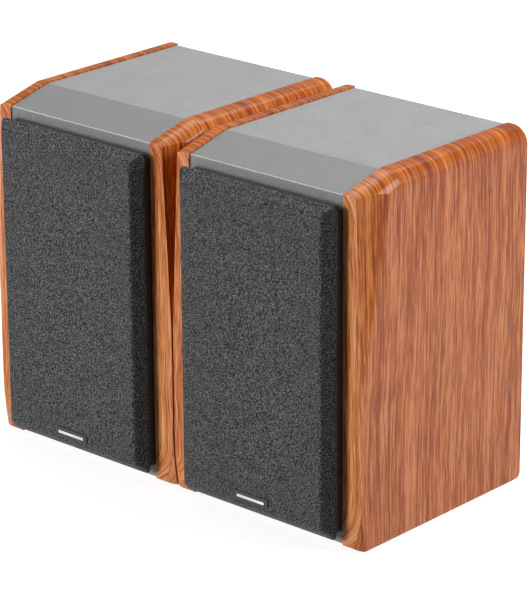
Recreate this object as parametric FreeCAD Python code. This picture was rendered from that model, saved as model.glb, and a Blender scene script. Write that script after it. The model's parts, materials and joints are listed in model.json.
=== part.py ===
import FreeCAD
import Part
import math
import os

# A pair of desktop speakers: the right one holds the amplifier, the left one is passive.
# Each speaker is drawn around its own middle (x = 0), with y = 0 on the front face of the grey
# cabinet, +Y towards the back and z = 0 on the table. place() then moves it to its spot in the pair.
# All sizes are millimetres.

V = FreeCAD.Vector

# ---------------------------------------------------------------- cabinet and cheeks
FOOT_HEIGHT = 2.0          # table to the underside of the cheeks
GREY_WIDTH = 127.6         # grey cabinet between the two cheeks
GREY_DEPTH = 160.0
GREY_HEIGHT = 239.0
CHEEK_THICKNESS = 16.2
CHEEK_PROUD = 1.0          # cheeks stand proud of the grey at the front, top and bottom
SPEAKER_GAP = 1.5          # between the two speakers as they stand
SLOPE_RUN = 33.5           # the front part of the top slopes: how far it runs back
SLOPE_DROP = 8.4           # and how far it falls towards the front
WALL = 8.0                 # cabinet boards
BAFFLE_THICKNESS = 12.0
REAR_THICKNESS = 9.0

BULLNOSE = 12.0            # rounding along the cheek's top outer edge
KNEE_ROUND = 7.0           # cheek profile, where the slope meets the top
HEEL_ROUND = 4.0           # cheek profile, rear bottom corner
TOE_ROUND = 2.5            # cheek profile, front bottom corner
FACET_INSET = 6.2          # top front facet: how far it cuts in from the side, at the front top
FACET_BACK = 26.5          # and how far it runs back along the side, at the top
FACET_LENGTH = 123.0       # and how far down the front edge it tapers to nothing
SCOOP_INSET = 7.5          # bottom front scoop: cut in from the side, at the base
SCOOP_BACK = 3.2           # and back along the side, at the base
SCOOP_LENGTH = 38.0        # and how far up the front edge it tapers to nothing

FOOT_RADIUS = 8.0
FOOT_INSET_X = 1.2         # foot's rim in from the grey cabinet's side
FOOT_INSET_Y = 11.0        # foot's rim in from the front and the back

# ---------------------------------------------------------------- woofer
WOOFER_MARGIN = 15.0       # flange's rim above the baffle's lower edge
WOOFER_FLANGE_R = 52.0
WOOFER_FLANGE_THICKNESS = 4.0
WOOFER_FLANGE_RECESS = 3.0
WOOFER_OPENING_R = 43.0    # inside of the flange
WOOFER_BASKET_R = 44.0     # outside of the basket where it goes through the baffle
WOOFER_BASKET_WALL = 2.0
WOOFER_BASKET_DEPTH = 36.0 # flange's back to the motor's top plate
WOOFER_SEAT_R = 30.0       # basket's back ring, outside
WOOFER_WINDOWS = 6
WOOFER_SCREWS = 4
WOOFER_SCREW_CIRCLE_R = 48.4
GASKET_WIDTH = 3.0
SURROUND_OUTER_R = 42.8
SURROUND_INNER_R = 34.0
SURROUND_THICKNESS = 0.8
CONE_OUTER_R = 35.0
CONE_DEPTH = 17.0
CONE_THICKNESS = 1.2
CONE_SKIN = 1.44           # thickness measured along Y
CONE_RIM_WIDTH = 2.4       # flat rim glued to the surround
CONE_SWEEP = 75.0          # degrees of a sine that the cone's side follows
CONE_STEPS = 10
COIL_R = 13.0              # voice coil former, outside
COIL_THICKNESS = 0.6
DUST_CAP_R = 17.0
DUST_CAP_RISE = 6.0
DUST_CAP_THICKNESS = 0.8
SPIDER_R = 28.0
SPIDER_THICKNESS = 1.0
SPIDER_WAVES = 4
SPIDER_WAVE_HEIGHT = 1.6
MAGNET_R = 35.0
MAGNET_BORE_R = 18.0
MAGNET_THICKNESS = 14.0
TOP_PLATE_R = 33.0
MOTOR_PLATE_THICKNESS = 5.0
COIL_GAP = 0.45            # coil former to pole and to top plate
CONE_TRAVEL = 2.5          # each way

# ---------------------------------------------------------------- tweeter
TWEETER_MARGIN = 12.6      # plate's rim below the baffle's upper edge
TWEETER_PLATE_R = 33.0
TWEETER_PLATE_THICKNESS = 3.0
TWEETER_RECESS = 2.5
TWEETER_HORN_R = 19.0
TWEETER_DOME_R = 10.0
TWEETER_DOME_RISE = 4.5
TWEETER_DOME_THICKNESS = 0.5
TWEETER_MOUTH_R = 12.0
TWEETER_MOTOR_R = 22.0
TWEETER_MOTOR_DEPTH = 22.0
TWEETER_WELL = 5.5         # recess in the motor that the dome sits in
TWEETER_SKIRT = 0.75       # width of the ring round the dome's rim
TWEETER_SCREWS = 3
TWEETER_SCREW_CIRCLE_R = 28.0
TWEETER_TRAVEL = 0.2

# ---------------------------------------------------------------- grille
GRILLE_OVERHANG = 1.2      # rim past the grey cabinet's side, each side
GRILLE_LOW_MARGIN = 5.4    # rim's lower edge above the grey cabinet's underside
GRILLE_HIGH_MARGIN = 5.6   # rim's upper edge below the foot of the slope
GRILLE_STAND_OFF = 8.0     # rim's back in front of the baffle
GRILLE_LIP = 0.8           # straight edge of the rim, behind the bevel
GRILLE_BEVEL = 6.6         # depth and width of the 45 degree bevel round the front
GRILLE_CORNER_R = 4.0
GRILLE_FRONT_CORNER_R = 1.2
CLOTH_THICKNESS = 0.7
CLOTH_TURN_IN = 1.6        # cloth glued on the rim's back
FRAME_THICKNESS = 4.0      # frame plate, behind the cloth
FRAME_BORDER = 14.0        # frame plate's edge strip
FRAME_BAR = 11.0           # bar between the two windows
SEAT_RING_WALL = 3.5       # spacer ring behind the frame
SEAT_RING_SIDE = 2.0       # ring in from the rim's sides
SEAT_RING_MARGIN = 4.5     # and from its lower and upper edges
SEAT_GAP = 0.6             # ring's back to the baffle
PEG_R = 2.9
PEG_FIT = 0.06             # radial clearance of a peg in its cup
PEG_DEPTH = 8.0
PEG_BOSS_R = 5.0
PEG_INSET_X = 19.5         # peg's axis in from the rim, sideways
PEG_INSET_Z = 11.3         # and in from the rim's lower and upper edges
CUP_R = 4.6
CUP_DEPTH = 10.0
BADGE_WIDTH = 29.0
BADGE_HEIGHT = 6.4
BADGE_THICKNESS = 1.0
BADGE_RISE = 12.6          # badge's middle above the rim's lower edge
BADGE_BAR_WIDTH = 23.0
BADGE_BAR_HEIGHT = 1.8
BADGE_BAR_PROUD = 0.25
BADGE_CORNER_R = 1.0
BADGE_BAR_CORNER_R = 0.6

# ---------------------------------------------------------------- rear, both speakers
PORT_DROP = 38.0           # port's axis below the grey cabinet's top
PORT_R = 14.0              # inside of the tube
PORT_WALL = 2.0
PORT_LENGTH = 78.0
PORT_FLARE = 6.0
PORT_FLANGE_R = 27.0
PORT_FLANGE = 2.0
SCREW_HEAD_R = 2.9
SCREW_HEAD = 1.4
SCREW_R = 1.6
SCREW_LENGTH = 9.0
SCREW_SLOT = 0.9
FIT = 0.1                  # clearance of a piece in its cut-out
MOVING_GAP = 0.4           # clearance round pieces that move freely
RUNNING_FIT = 0.05         # radial clearance of a shaft or pin in its hole

# ---------------------------------------------------------------- rear of the right speaker
AMP_WIDTH = 100.0
AMP_HEIGHT = 152.0
AMP_RISE = 21.0            # plate's lower edge above the grey cabinet's underside
AMP_THICKNESS = 2.0
AMP_OVERLAP = 6.0          # plate's edge over the rear panel
KNOB_R = 8.0
KNOB_END_R = 7.4           # knob narrows towards its outer end
KNOB_EDGE_R = 1.0
KNOB_LENGTH = 12.0
KNOB_GAP = 0.6             # knob's foot to the plate
KNOB_SHAFT_R = 3.0
KNOB_SHAFT_LENGTH = 8.0
KNOB_FLUTES = 18
KNOB_FLUTE_R = 0.7
KNOB_MARK_WIDTH = 1.2
KNOB_MARK_LENGTH = 4.8
KNOB_MARK_RISE = 4.4       # mark's middle above the knob's axis
KNOB_MARK_DEPTH = 0.5
KNOB_PITCH = 28.0
KNOB_DROP = 20.0           # knobs' axes below the plate's top
PHONO_R = 4.15
PHONO_BORE_R = 1.65
PHONO_LENGTH = 9.0
PHONO_PITCH_X = 14.0
PHONO_PITCH_Z = 15.0
PHONO_X = -26.0
PHONO_DROP = 52.0          # block's middle below the plate's top
PHONO_BLOCK_WIDTH = 34.0
PHONO_BLOCK_HEIGHT = 34.0
PHONO_PLUG = 30.0          # the block behind the plate, square
PHONO_BLOCK_DEPTH = 12.0
PHONO_BLOCK_FACE = 1.5
CLIP_X = 20.0
CLIP_DROP = 52.0
ROCKER_X = -24.0
ROCKER_RISE = 30.0         # rocker's middle above the plate's lower edge
ROCKER_WIDTH = 12.0
ROCKER_HEIGHT = 18.0
ROCKER_FRAME = 2.0
ROCKER_DEPTH = 9.0
ROCKER_TILT = 6.0          # degrees each side of level
ROCKER_PIN_R = 1.5
ROCKER_BARREL_R = 1.9      # round the pin, inside the rocker
ROCKER_END_GAP = 0.5       # rocker's end short of its opening's middle line
ROCKER_SKIRT = 1.0         # how far its sides stop short of the pin's axis
ROCKER_KEEL = 1.2          # how far its belly reaches past it
INLET_X = 22.0
INLET_RISE = 30.0
INLET_WIDTH = 15.6         # socket's inside
INLET_HEIGHT = 8.4
INLET_WALL = 2.4
INLET_DEPTH = 13.0
INLET_PIN_R = 1.2
INLET_PIN_PITCH = 8.6
INLET_PIN_LENGTH = 10.0
INLET_FACE = 2.0
INLET_RIM = 3.0            # flange round the inlet's body
BOARD_WIDTH = 86.0
BOARD_HEIGHT = 101.0
BOARD_THICKNESS = 1.6
BOARD_SET_BACK = 27.0      # board in front of the rear face
BOARD_RISE = 16.0          # board's lower edge above the transformer
POST_R = 3.0
POST_INSET = 6.0
SINK_WIDTH = 40.0
SINK_HEIGHT = 16.0
SINK_DEPTH = 20.0
SINK_BASE = 3.0
SINK_FIN = 1.6
SINK_FINS = 7
BIG_CAPACITOR_R = 5.0
BIG_CAPACITOR_LENGTH = 18.0
SMALL_CAPACITOR_R = 3.5
SMALL_CAPACITOR_LENGTH = 11.0
CHIP_SIZE = 16.0
CHIP_HEIGHT = 3.5
CHOKE_R = 12.0
CHOKE_LENGTH = 14.0
TRANSFORMER_WIDTH = 44.0
TRANSFORMER_HEIGHT = 38.0
TRANSFORMER_DEPTH = 34.0
TRANSFORMER_COIL_GROWTH = 5.0
TRANSFORMER_SET_BACK = 4.0 # winding to the rear panel

# ---------------------------------------------------------------- rear of the left speaker
TERMINAL_X = 0.0
TERMINAL_RISE = 59.0       # block's middle above the grey cabinet's underside
CROSSOVER_WIDTH = 64.0
CROSSOVER_HEIGHT = 46.0
CROSSOVER_SET_BACK = 42.0
CROSSOVER_RISE = 34.0      # board's lower edge above the terminal block's middle

# ---------------------------------------------------------------- spring-clip block
CLIP_WIDTH = 50.0
CLIP_HEIGHT = 40.0
CLIP_FACE = 2.0
CLIP_BODY_INSET = 6.0
CLIP_DEPTH = 16.0
LEVER_WIDTH = 11.0
LEVER_HEIGHT = 17.0
LEVER_THICKNESS = 4.0
LEVER_PITCH = 18.0
LEVER_SWING = 20.0         # degrees
LEVER_PIN_R = 1.5
LEVER_POCKET_DEPTH = 12.0
LEVER_TOP_GAP = 1.0        # room for the lever's upper end as it swings in
LEVER_CASE = 2.0           # block's wall above the pocket
WIRE_HOLE_R = 1.3
WIRE_HOLE_DEPTH = 8.0
WIRE_HOLE_DROP = 10.0      # below the block's middle

EPS = 1.0                  # overrun of a cutting solid
TOUCH = 0.01               # overrun of one whose taper would change over a longer run


def grey_bottom():
    return FOOT_HEIGHT + CHEEK_PROUD


def grey_top():
    return grey_bottom() + GREY_HEIGHT


def slope_foot():
    """Height of the edge between the front face and the slope."""
    return grey_top() - SLOPE_DROP


def rear_face():
    return GREY_DEPTH


def inner_half():
    return GREY_WIDTH / 2 - WALL


def baffle_low():
    return grey_bottom() + WALL


def baffle_high():
    return slope_foot() - WALL


def woofer_z():
    return baffle_low() + WOOFER_MARGIN + WOOFER_FLANGE_R


def tweeter_z():
    return baffle_high() - TWEETER_MARGIN - TWEETER_PLATE_R


def grille_half():
    return GREY_WIDTH / 2 + GRILLE_OVERHANG


def grille_low():
    return grey_bottom() + GRILLE_LOW_MARGIN


def grille_high():
    return slope_foot() - GRILLE_HIGH_MARGIN


def badge_z():
    return grille_low() + BADGE_RISE


def port_z():
    return grey_top() - PORT_DROP


def amp_low():
    return grey_bottom() + AMP_RISE


def amp_high():
    return amp_low() + AMP_HEIGHT


def knob_z():
    return amp_high() - KNOB_DROP


def phono_z():
    return amp_high() - PHONO_DROP


def clip_z():
    return amp_high() - CLIP_DROP


def rocker_z():
    return amp_low() + ROCKER_RISE


def inlet_z():
    return amp_low() + INLET_RISE


def terminal_z():
    return grey_bottom() + TERMINAL_RISE


def grille_front():
    return -(GRILLE_STAND_OFF + GRILLE_LIP + GRILLE_BEVEL)


def pitch():
    return GREY_WIDTH + 2 * CHEEK_THICKNESS + SPEAKER_GAP


def knob_end():
    return rear_face() + AMP_THICKNESS + KNOB_GAP + KNOB_LENGTH


def centre_shift():
    """Moves the pair back so that the box round it is centred on y = 0."""
    front = grille_front() - BADGE_THICKNESS
    return -(front + knob_end()) / 2.0


# ---------------------------------------------------------------- drawing helpers
def box(x0, x1, y0, y1, z0, z1):
    return Part.makeBox(x1 - x0, y1 - y0, z1 - z0, V(x0, y0, z0))


def block(x, z, width, height, y0, y1):
    """A box centred on x and z, from y0 to y1."""
    return box(x - width / 2, x + width / 2, y0, y1, z - height / 2, z + height / 2)


def rod(x, z, radius, y0, y1):
    """A cylinder along Y."""
    return Part.makeCylinder(radius, y1 - y0, V(x, y0, z), V(0, 1, 0))


def ring(x, z, outer, inner, y0, y1):
    return rod(x, z, outer, y0, y1).cut(rod(x, z, inner, y0 - EPS, y1 + EPS))


def taper(x, z, r0, r1, y0, y1):
    """A cone along Y with radius r0 at y0 and r1 at y1."""
    return Part.makeCone(r0, r1, y1 - y0, V(x, y0, z), V(0, 1, 0))


def cross_rod(x0, x1, y, z, radius):
    """A cylinder along X."""
    return Part.makeCylinder(radius, x1 - x0, V(x0, y, z), V(1, 0, 0))


def side_prism(points, x0, x1):
    """A prism along X over a closed outline given as (y, z) points."""
    corners = [V(x0, y, z) for y, z in points]
    wire = Part.makePolygon(corners + [corners[0]])
    return Part.Face(wire).extrude(V(x1 - x0, 0, 0))


def rounded_plate(width, z0, z1, corner, y0, y1):
    """A plate with rounded corners, standing in the XZ plane."""
    plate = box(-width / 2, width / 2, y0, y1, z0, z1)
    if corner <= 0:
        return plate
    edges = [e for e in plate.Edges if abs(e.tangentAt(e.FirstParameter).y) > 0.9]
    return plate.makeFillet(corner, edges)


def revolve(points, x, z):
    """A ring turned about the Y line through x, z, from (radius, y) points."""
    corners = [V(x + r, y, z) for r, y in points]
    wire = Part.makePolygon(corners + [corners[0]])
    return Part.Face(wire).revolve(V(x, 0, z), V(0, 1, 0), 360)


def union(shapes):
    whole = shapes[0]
    for shape in shapes[1:]:
        whole = whole.fuse(shape)
    return whole.removeSplitter()


def around(count, start_deg=0.0):
    for i in range(count):
        angle = math.radians(start_deg + 360.0 * i / count)
        yield math.cos(angle), math.sin(angle)


def edges_along_x(shape, y, z, tolerance=0.01):
    found = []
    for edge in shape.Edges:
        a = edge.Vertexes[0].Point
        b = edge.Vertexes[-1].Point
        straight = abs(a.y - b.y) < tolerance and abs(a.z - b.z) < tolerance
        if straight and abs(a.y - y) < tolerance and abs(a.z - z) < tolerance:
            found.append(edge)
    return found


# ---------------------------------------------------------------- cabinet
def outline(proud):
    """Side outline as (y, z): front bottom, front top, knee, rear top, rear bottom."""
    slope = math.atan2(SLOPE_DROP, SLOPE_RUN)
    knee_back = proud * math.tan(slope / 2)
    front_rise = proud / math.cos(slope) - proud * math.tan(slope)
    return [(-proud, grey_bottom() - proud),
            (-proud, slope_foot() + front_rise),
            (SLOPE_RUN - knee_back, grey_top() + proud),
            (GREY_DEPTH, grey_top() + proud),
            (GREY_DEPTH, grey_bottom() - proud)]


def make_cabinet():
    half = GREY_WIDTH / 2
    shell = side_prism(outline(0.0), -half, half)
    floor = baffle_low()
    roof = grey_top() - WALL
    lintel = baffle_high()
    hollow = [(-EPS, floor), (-EPS, lintel), (BAFFLE_THICKNESS, lintel), (SLOPE_RUN, roof),
              (GREY_DEPTH + EPS, roof), (GREY_DEPTH + EPS, floor)]
    return shell.cut(side_prism(hollow, -inner_half(), inner_half()))


def facet_cutter(x_out, front, top):
    """The wedge outside the plane facet at the cheek's front top outer corner."""
    start = V(x_out, front, top - FACET_LENGTH)
    over = (FACET_LENGTH + 4 * BULLNOSE) / FACET_LENGTH
    z = start.z + FACET_LENGTH * over
    inner = V(x_out - FACET_INSET * over, front, z)
    back = V(x_out, front + FACET_BACK * over, z)
    outer = V(x_out + FACET_INSET, front - FACET_INSET, z)
    faces = [(start, inner, back), (start, inner, outer), (start, back, outer), (inner, back, outer)]
    shell = Part.makeShell([Part.Face(Part.makePolygon([a, b, c, a])) for a, b, c in faces])
    return Part.makeSolid(shell)


def scoop_cutter(x_out, front, base):
    """What lies outside a slow curve that draws the lower front edge of the cheek inwards."""
    across = math.hypot(SCOOP_INSET, SCOOP_BACK)
    depth = SCOOP_INSET * SCOOP_BACK / across
    radius = (SCOOP_LENGTH ** 2 + depth ** 2) / (2 * depth)
    along = V(SCOOP_INSET / across, SCOOP_BACK / across, 0)
    outward = V(SCOOP_BACK / across, -SCOOP_INSET / across, 0)
    corner = V(x_out, front, base + SCOOP_LENGTH)
    reach = 3 * across
    centre = corner - outward * radius
    drum = Part.makeCylinder(radius, 2 * reach, centre - along * reach, along)
    slab = Part.makeBox(2 * reach, 4 * depth, SCOOP_LENGTH + EPS)
    turn = FreeCAD.Rotation(V(1, 0, 0), along)
    low = corner - along * reach - outward * (2 * depth) - V(0, 0, SCOOP_LENGTH + EPS)
    # the slab's second side must point along +outward: its own +Y turns to the inward side
    slab.Placement = FreeCAD.Placement(low + outward * (4 * depth), turn)
    return slab.cut(drum)


def make_cheek():
    """The cheek on the +X side."""
    x_in = GREY_WIDTH / 2
    x_out = x_in + CHEEK_THICKNESS
    corners = outline(CHEEK_PROUD)
    cheek = side_prism(corners, x_in, x_out)
    toe, nose, knee, rear, heel = corners
    cheek = cheek.makeFillet(KNEE_ROUND, edges_along_x(cheek, *knee))
    # the bullnose follows the slope, the knee and the top, and runs out at the front and the back
    outer_edges = []
    for edge in cheek.Edges:
        middle = edge.valueAt((edge.FirstParameter + edge.LastParameter) / 2)
        inside = nose[0] < middle.y < rear[0]
        if abs(middle.x - x_out) < 0.01 and inside and middle.z > nose[1]:
            outer_edges.append(edge)
    cheek = cheek.makeFillet(BULLNOSE, outer_edges)
    for (y, z), radius in ((heel, HEEL_ROUND), (toe, TOE_ROUND)):
        cheek = cheek.makeFillet(radius, edges_along_x(cheek, y, z))
    cheek = cheek.cut(facet_cutter(x_out, nose[0], nose[1]))
    return cheek.cut(scoop_cutter(x_out, toe[0], toe[1]))


def mirrored(shape):
    return shape.mirror(V(0, 0, 0), V(1, 0, 0))


def make_feet():
    x = GREY_WIDTH / 2 - FOOT_INSET_X - FOOT_RADIUS
    y_front = FOOT_INSET_Y + FOOT_RADIUS
    y_back = GREY_DEPTH - y_front
    feet = []
    for sx in (-x, x):
        for y in (y_front, y_back):
            feet.append(Part.makeCylinder(FOOT_RADIUS, grey_bottom(), V(sx, y, 0)))
    return Part.makeCompound(feet)


# ---------------------------------------------------------------- screws
def screw(x, z, face, direction):
    """A pan-head screw whose head sits on the plane y = face; direction is the way it points."""
    head = taper(x, z, SCREW_HEAD_R, SCREW_HEAD_R * 0.8, 0, SCREW_HEAD)
    shank = rod(x, z, SCREW_R, -SCREW_LENGTH, 0)
    slots = [block(x, z, SCREW_HEAD_R, SCREW_SLOT, SCREW_HEAD / 2, SCREW_HEAD + EPS),
             block(x, z, SCREW_SLOT, SCREW_HEAD_R, SCREW_HEAD / 2, SCREW_HEAD + EPS)]
    whole = union([head, shank]).cut(slots[0]).cut(slots[1])
    if direction > 0:
        whole = whole.mirror(V(0, 0, 0), V(0, 1, 0))
    whole.translate(V(0, face, 0))
    return whole


def screw_hole(x, z, y0, y1):
    return rod(x, z, SCREW_R, y0, y1)


def woofer_screw_spots():
    return [(WOOFER_SCREW_CIRCLE_R * c, woofer_z() + WOOFER_SCREW_CIRCLE_R * s)
            for c, s in around(WOOFER_SCREWS, 45)]


def tweeter_screw_spots():
    return [(TWEETER_SCREW_CIRCLE_R * c, tweeter_z() + TWEETER_SCREW_CIRCLE_R * s)
            for c, s in around(TWEETER_SCREWS, 90)]


def port_screw_spots():
    middle = (PORT_FLANGE_R + PORT_R + PORT_FLARE) / 2
    return [(middle * c, port_z() + middle * s) for c, s in around(2, 0)]


def amp_screw_spots():
    x = AMP_WIDTH / 2 - AMP_OVERLAP / 2
    low = amp_low() + AMP_OVERLAP / 2
    high = amp_high() - AMP_OVERLAP / 2
    return [(sx, z) for sx in (-x, x) for z in (low, (low + high) / 2, high)]


def terminal_screw_spots():
    x = CLIP_WIDTH / 2 - CLIP_BODY_INSET / 2
    z = CLIP_HEIGHT / 2 - CLIP_BODY_INSET / 2
    return [(TERMINAL_X + sx, terminal_z() + sz) for sx in (-x, x) for sz in (-z, z)]


# ---------------------------------------------------------------- baffle
def peg_spots():
    x = grille_half() - PEG_INSET_X
    woofer_top = woofer_z() + WOOFER_FLANGE_R
    tweeter_bottom = tweeter_z() - TWEETER_PLATE_R
    rows = (grille_low() + PEG_INSET_Z, (woofer_top + tweeter_bottom) / 2, grille_high() - PEG_INSET_Z)
    return [(sx, z) for sx in (-x, x) for z in rows]


def make_baffle():
    half = inner_half()
    board = box(-half, half, 0, BAFFLE_THICKNESS, baffle_low(), baffle_high())
    deep = BAFFLE_THICKNESS + EPS
    board = board.cut(rod(0, woofer_z(), WOOFER_FLANGE_R + FIT, -EPS, WOOFER_FLANGE_RECESS))
    board = board.cut(rod(0, woofer_z(), WOOFER_BASKET_R + FIT, 0, deep))
    board = board.cut(rod(0, tweeter_z(), TWEETER_PLATE_R + FIT, -EPS, TWEETER_RECESS))
    board = board.cut(rod(0, tweeter_z(), TWEETER_MOTOR_R + FIT, 0, deep))
    for x, z in peg_spots():
        board = board.cut(rod(x, z, CUP_R, -EPS, CUP_DEPTH))
    for x, z in woofer_screw_spots():
        board = board.cut(screw_hole(x, z, 0, deep))
    for x, z in tweeter_screw_spots():
        board = board.cut(screw_hole(x, z, 0, deep))
    return board


def make_grille_cups():
    cups = []
    for x, z in peg_spots():
        cup = rod(x, z, CUP_R, 0, CUP_DEPTH)
        cups.append(cup.cut(rod(x, z, PEG_R + PEG_FIT, -EPS, PEG_DEPTH + MOVING_GAP)))
    return Part.makeCompound(cups)


# ---------------------------------------------------------------- woofer
def flange_face():
    return WOOFER_FLANGE_RECESS - WOOFER_FLANGE_THICKNESS


def cone_rim():
    """y of the cone's outer edge at rest."""
    return WOOFER_FLANGE_RECESS


def cone_neck():
    return cone_rim() + CONE_DEPTH


def top_plate_face():
    return WOOFER_FLANGE_RECESS + WOOFER_BASKET_DEPTH


def make_woofer_basket():
    z = woofer_z()
    face = flange_face()
    back = WOOFER_FLANGE_RECESS
    seat = top_plate_face()
    wall = WOOFER_BASKET_WALL
    flange = ring(0, z, WOOFER_FLANGE_R, WOOFER_OPENING_R, face, back)
    ledge = ring(0, z, WOOFER_BASKET_R, WOOFER_BASKET_R - 2 * wall, back, back + wall)
    outer = taper(0, z, WOOFER_BASKET_R, WOOFER_SEAT_R, back, seat)
    inner = taper(0, z, WOOFER_BASKET_R - wall, WOOFER_SEAT_R - wall, back - TOUCH, seat + TOUCH)
    sides = outer.cut(inner)
    reach = WOOFER_BASKET_R + EPS
    window_top = BAFFLE_THICKNESS + wall
    window = box(WOOFER_SEAT_R / 2, reach, window_top, seat - 2 * wall, -reach / 4, reach / 4)
    for i in range(WOOFER_WINDOWS):
        cutter = window.copy()
        cutter.rotate(V(0, 0, 0), V(0, 1, 0), 360.0 * (i + 0.5) / WOOFER_WINDOWS)
        cutter.translate(V(0, 0, z))
        sides = sides.cut(cutter)
    seat_ring = ring(0, z, WOOFER_SEAT_R, MAGNET_BORE_R, seat - wall, seat)
    shelf = ring(0, z, WOOFER_BASKET_R, SPIDER_R - wall, spider_y(), spider_y() + wall)
    shelf = shelf.common(outer)
    basket = union([flange, ledge, sides, seat_ring, shelf])
    for x, sz in woofer_screw_spots():
        basket = basket.cut(screw_hole(x, sz, face - EPS, back + EPS))
    return basket


def spider_y():
    return top_plate_face() - 4 * WOOFER_BASKET_WALL


def make_woofer_motor():
    z = woofer_z()
    y0 = top_plate_face()
    y1 = y0 + MOTOR_PLATE_THICKNESS
    y2 = y1 + MAGNET_THICKNESS
    y3 = y2 + MOTOR_PLATE_THICKNESS
    gap_r = COIL_R + COIL_GAP
    pole_r = COIL_R - COIL_THICKNESS - COIL_GAP
    top_plate = ring(0, z, TOP_PLATE_R, gap_r, y0, y1)
    magnet = ring(0, z, MAGNET_R, MAGNET_BORE_R, y1, y2)
    back_plate = rod(0, z, TOP_PLATE_R, y2, y3)
    pole = rod(0, z, pole_r, y0, y2)
    vent = rod(0, z, pole_r / 2, y0 - EPS, y3 + EPS)
    return union([top_plate, magnet, back_plate, pole]).cut(vent)


def cone_back(share):
    """(radius, y) on the back of the cone: share 0 is beside the flat rim and 1 is at the neck."""
    rim_r = CONE_OUTER_R - CONE_RIM_WIDTH
    rim_y = cone_rim() + CONE_THICKNESS
    sweep = math.radians(CONE_SWEEP)
    drop = math.sin(share * sweep) / math.sin(sweep)
    return rim_r + (COIL_R - rim_r) * share, rim_y + (cone_neck() - rim_y) * drop


def make_woofer_cone():
    """Slightly curved cone: it gets flatter towards the neck."""
    back = [cone_back(i / CONE_STEPS) for i in range(CONE_STEPS + 1)]
    front = [(radius, y - CONE_SKIN) for radius, y in back[1:]]
    rim = [(CONE_OUTER_R, cone_rim()), (CONE_OUTER_R, cone_rim() + CONE_THICKNESS)]
    inner_rim = (CONE_OUTER_R - CONE_RIM_WIDTH - CONE_THICKNESS, cone_rim())
    return revolve(rim + back + front[::-1] + [inner_rim], 0, woofer_z())


def make_woofer_coil():
    y0 = cone_neck()
    y1 = top_plate_face() + MOTOR_PLATE_THICKNESS + CONE_TRAVEL
    return ring(0, woofer_z(), COIL_R, COIL_R - COIL_THICKNESS, y0, y1)


def dome(x, z, radius, rise, thickness, base):
    """A thin spherical cap that bulges towards -Y, its rim on the plane y = base."""
    outer_r = (radius ** 2 + rise ** 2) / (2 * rise)
    centre = base - rise + outer_r
    ball = Part.makeSphere(outer_r, V(x, centre, z))
    ball = ball.cut(Part.makeSphere(outer_r - thickness, V(x, centre, z)))
    return ball.common(rod(x, z, radius + EPS, base - rise - EPS, base))


def dust_cap_base():
    """y where the dust cap's rim meets the front of the cone."""
    rim_r = CONE_OUTER_R - CONE_RIM_WIDTH
    share = (rim_r - DUST_CAP_R) / (rim_r - COIL_R)
    return cone_back(share)[1] - CONE_SKIN


def make_dust_cap():
    cap = dome(0, woofer_z(), DUST_CAP_R, DUST_CAP_RISE, DUST_CAP_THICKNESS,
               dust_cap_base() + DUST_CAP_THICKNESS)
    return cap.cut(make_woofer_cone())


def make_surround():
    """Half-roll ring from the basket's ledge to the cone's rim."""
    y = cone_rim()
    t = SURROUND_THICKNESS
    middle = (SURROUND_OUTER_R + SURROUND_INNER_R) / 2
    lip = GASKET_WIDTH / 2
    roll = (SURROUND_OUTER_R - SURROUND_INNER_R) / 2 - lip / 2
    profile = [(SURROUND_INNER_R, y), (SURROUND_INNER_R, y - t)]
    steps = 12
    for i in range(steps + 1):
        angle = math.pi * (1 - i / steps)
        profile.append((middle + (roll + t / 2) * math.cos(angle), y - t - (roll + t / 2) * math.sin(angle)))
    profile += [(SURROUND_OUTER_R, y - t), (SURROUND_OUTER_R, y)]
    for i in range(steps + 1):
        angle = math.pi * i / steps
        profile.append((middle + (roll - t / 2) * math.cos(angle), y - (roll - t / 2) * math.sin(angle)))
    clean = [profile[0]]
    for spot in profile[1:]:
        if math.hypot(spot[0] - clean[-1][0], spot[1] - clean[-1][1]) > 0.02:
            clean.append(spot)
    return revolve(clean, 0, woofer_z())


def make_spider():
    """Corrugated disc from the basket's shelf to the coil former."""
    t = SPIDER_THICKNESS
    inner = COIL_R
    outer = SPIDER_R - WOOFER_BASKET_WALL + EPS
    steps = SPIDER_WAVES * 8
    front = []
    back = []
    for i in range(steps + 1):
        radius = inner + (outer - inner) * i / steps
        wave = SPIDER_WAVE_HEIGHT / 2 * math.sin(2 * math.pi * SPIDER_WAVES * i / steps)
        front.append((radius, spider_y() - t + wave))
        back.append((radius, spider_y() + wave))
    return revolve(front + list(reversed(back)), 0, woofer_z())


# ---------------------------------------------------------------- tweeter
def tweeter_face():
    return TWEETER_RECESS - TWEETER_PLATE_THICKNESS


def make_tweeter_plate():
    z = tweeter_z()
    face = tweeter_face()
    plate = rod(0, z, TWEETER_PLATE_R, face, TWEETER_RECESS)
    horn = taper(0, z, TWEETER_HORN_R, TWEETER_MOUTH_R, face - TOUCH, TWEETER_RECESS + TOUCH)
    plate = plate.cut(horn)
    for x, sz in tweeter_screw_spots():
        plate = plate.cut(screw_hole(x, sz, face - EPS, TWEETER_RECESS + EPS))
    return plate


def make_tweeter_motor():
    z = tweeter_z()
    y0 = TWEETER_RECESS
    motor = rod(0, z, TWEETER_MOTOR_R, y0, y0 + TWEETER_MOTOR_DEPTH)
    well = rod(0, z, TWEETER_MOUTH_R, y0 - EPS, y0 + TWEETER_WELL)
    return motor.cut(well)


def make_tweeter_dome():
    base = TWEETER_RECESS + TWEETER_WELL - MOVING_GAP - TWEETER_TRAVEL
    cap = dome(0, tweeter_z(), TWEETER_DOME_R, TWEETER_DOME_RISE, TWEETER_DOME_THICKNESS, base)
    skirt_r = TWEETER_DOME_R + MOVING_GAP
    skirt = ring(0, tweeter_z(), skirt_r, TWEETER_DOME_R - TWEETER_SKIRT,
                 base - TWEETER_DOME_THICKNESS, base)
    return union([cap, skirt])


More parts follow.
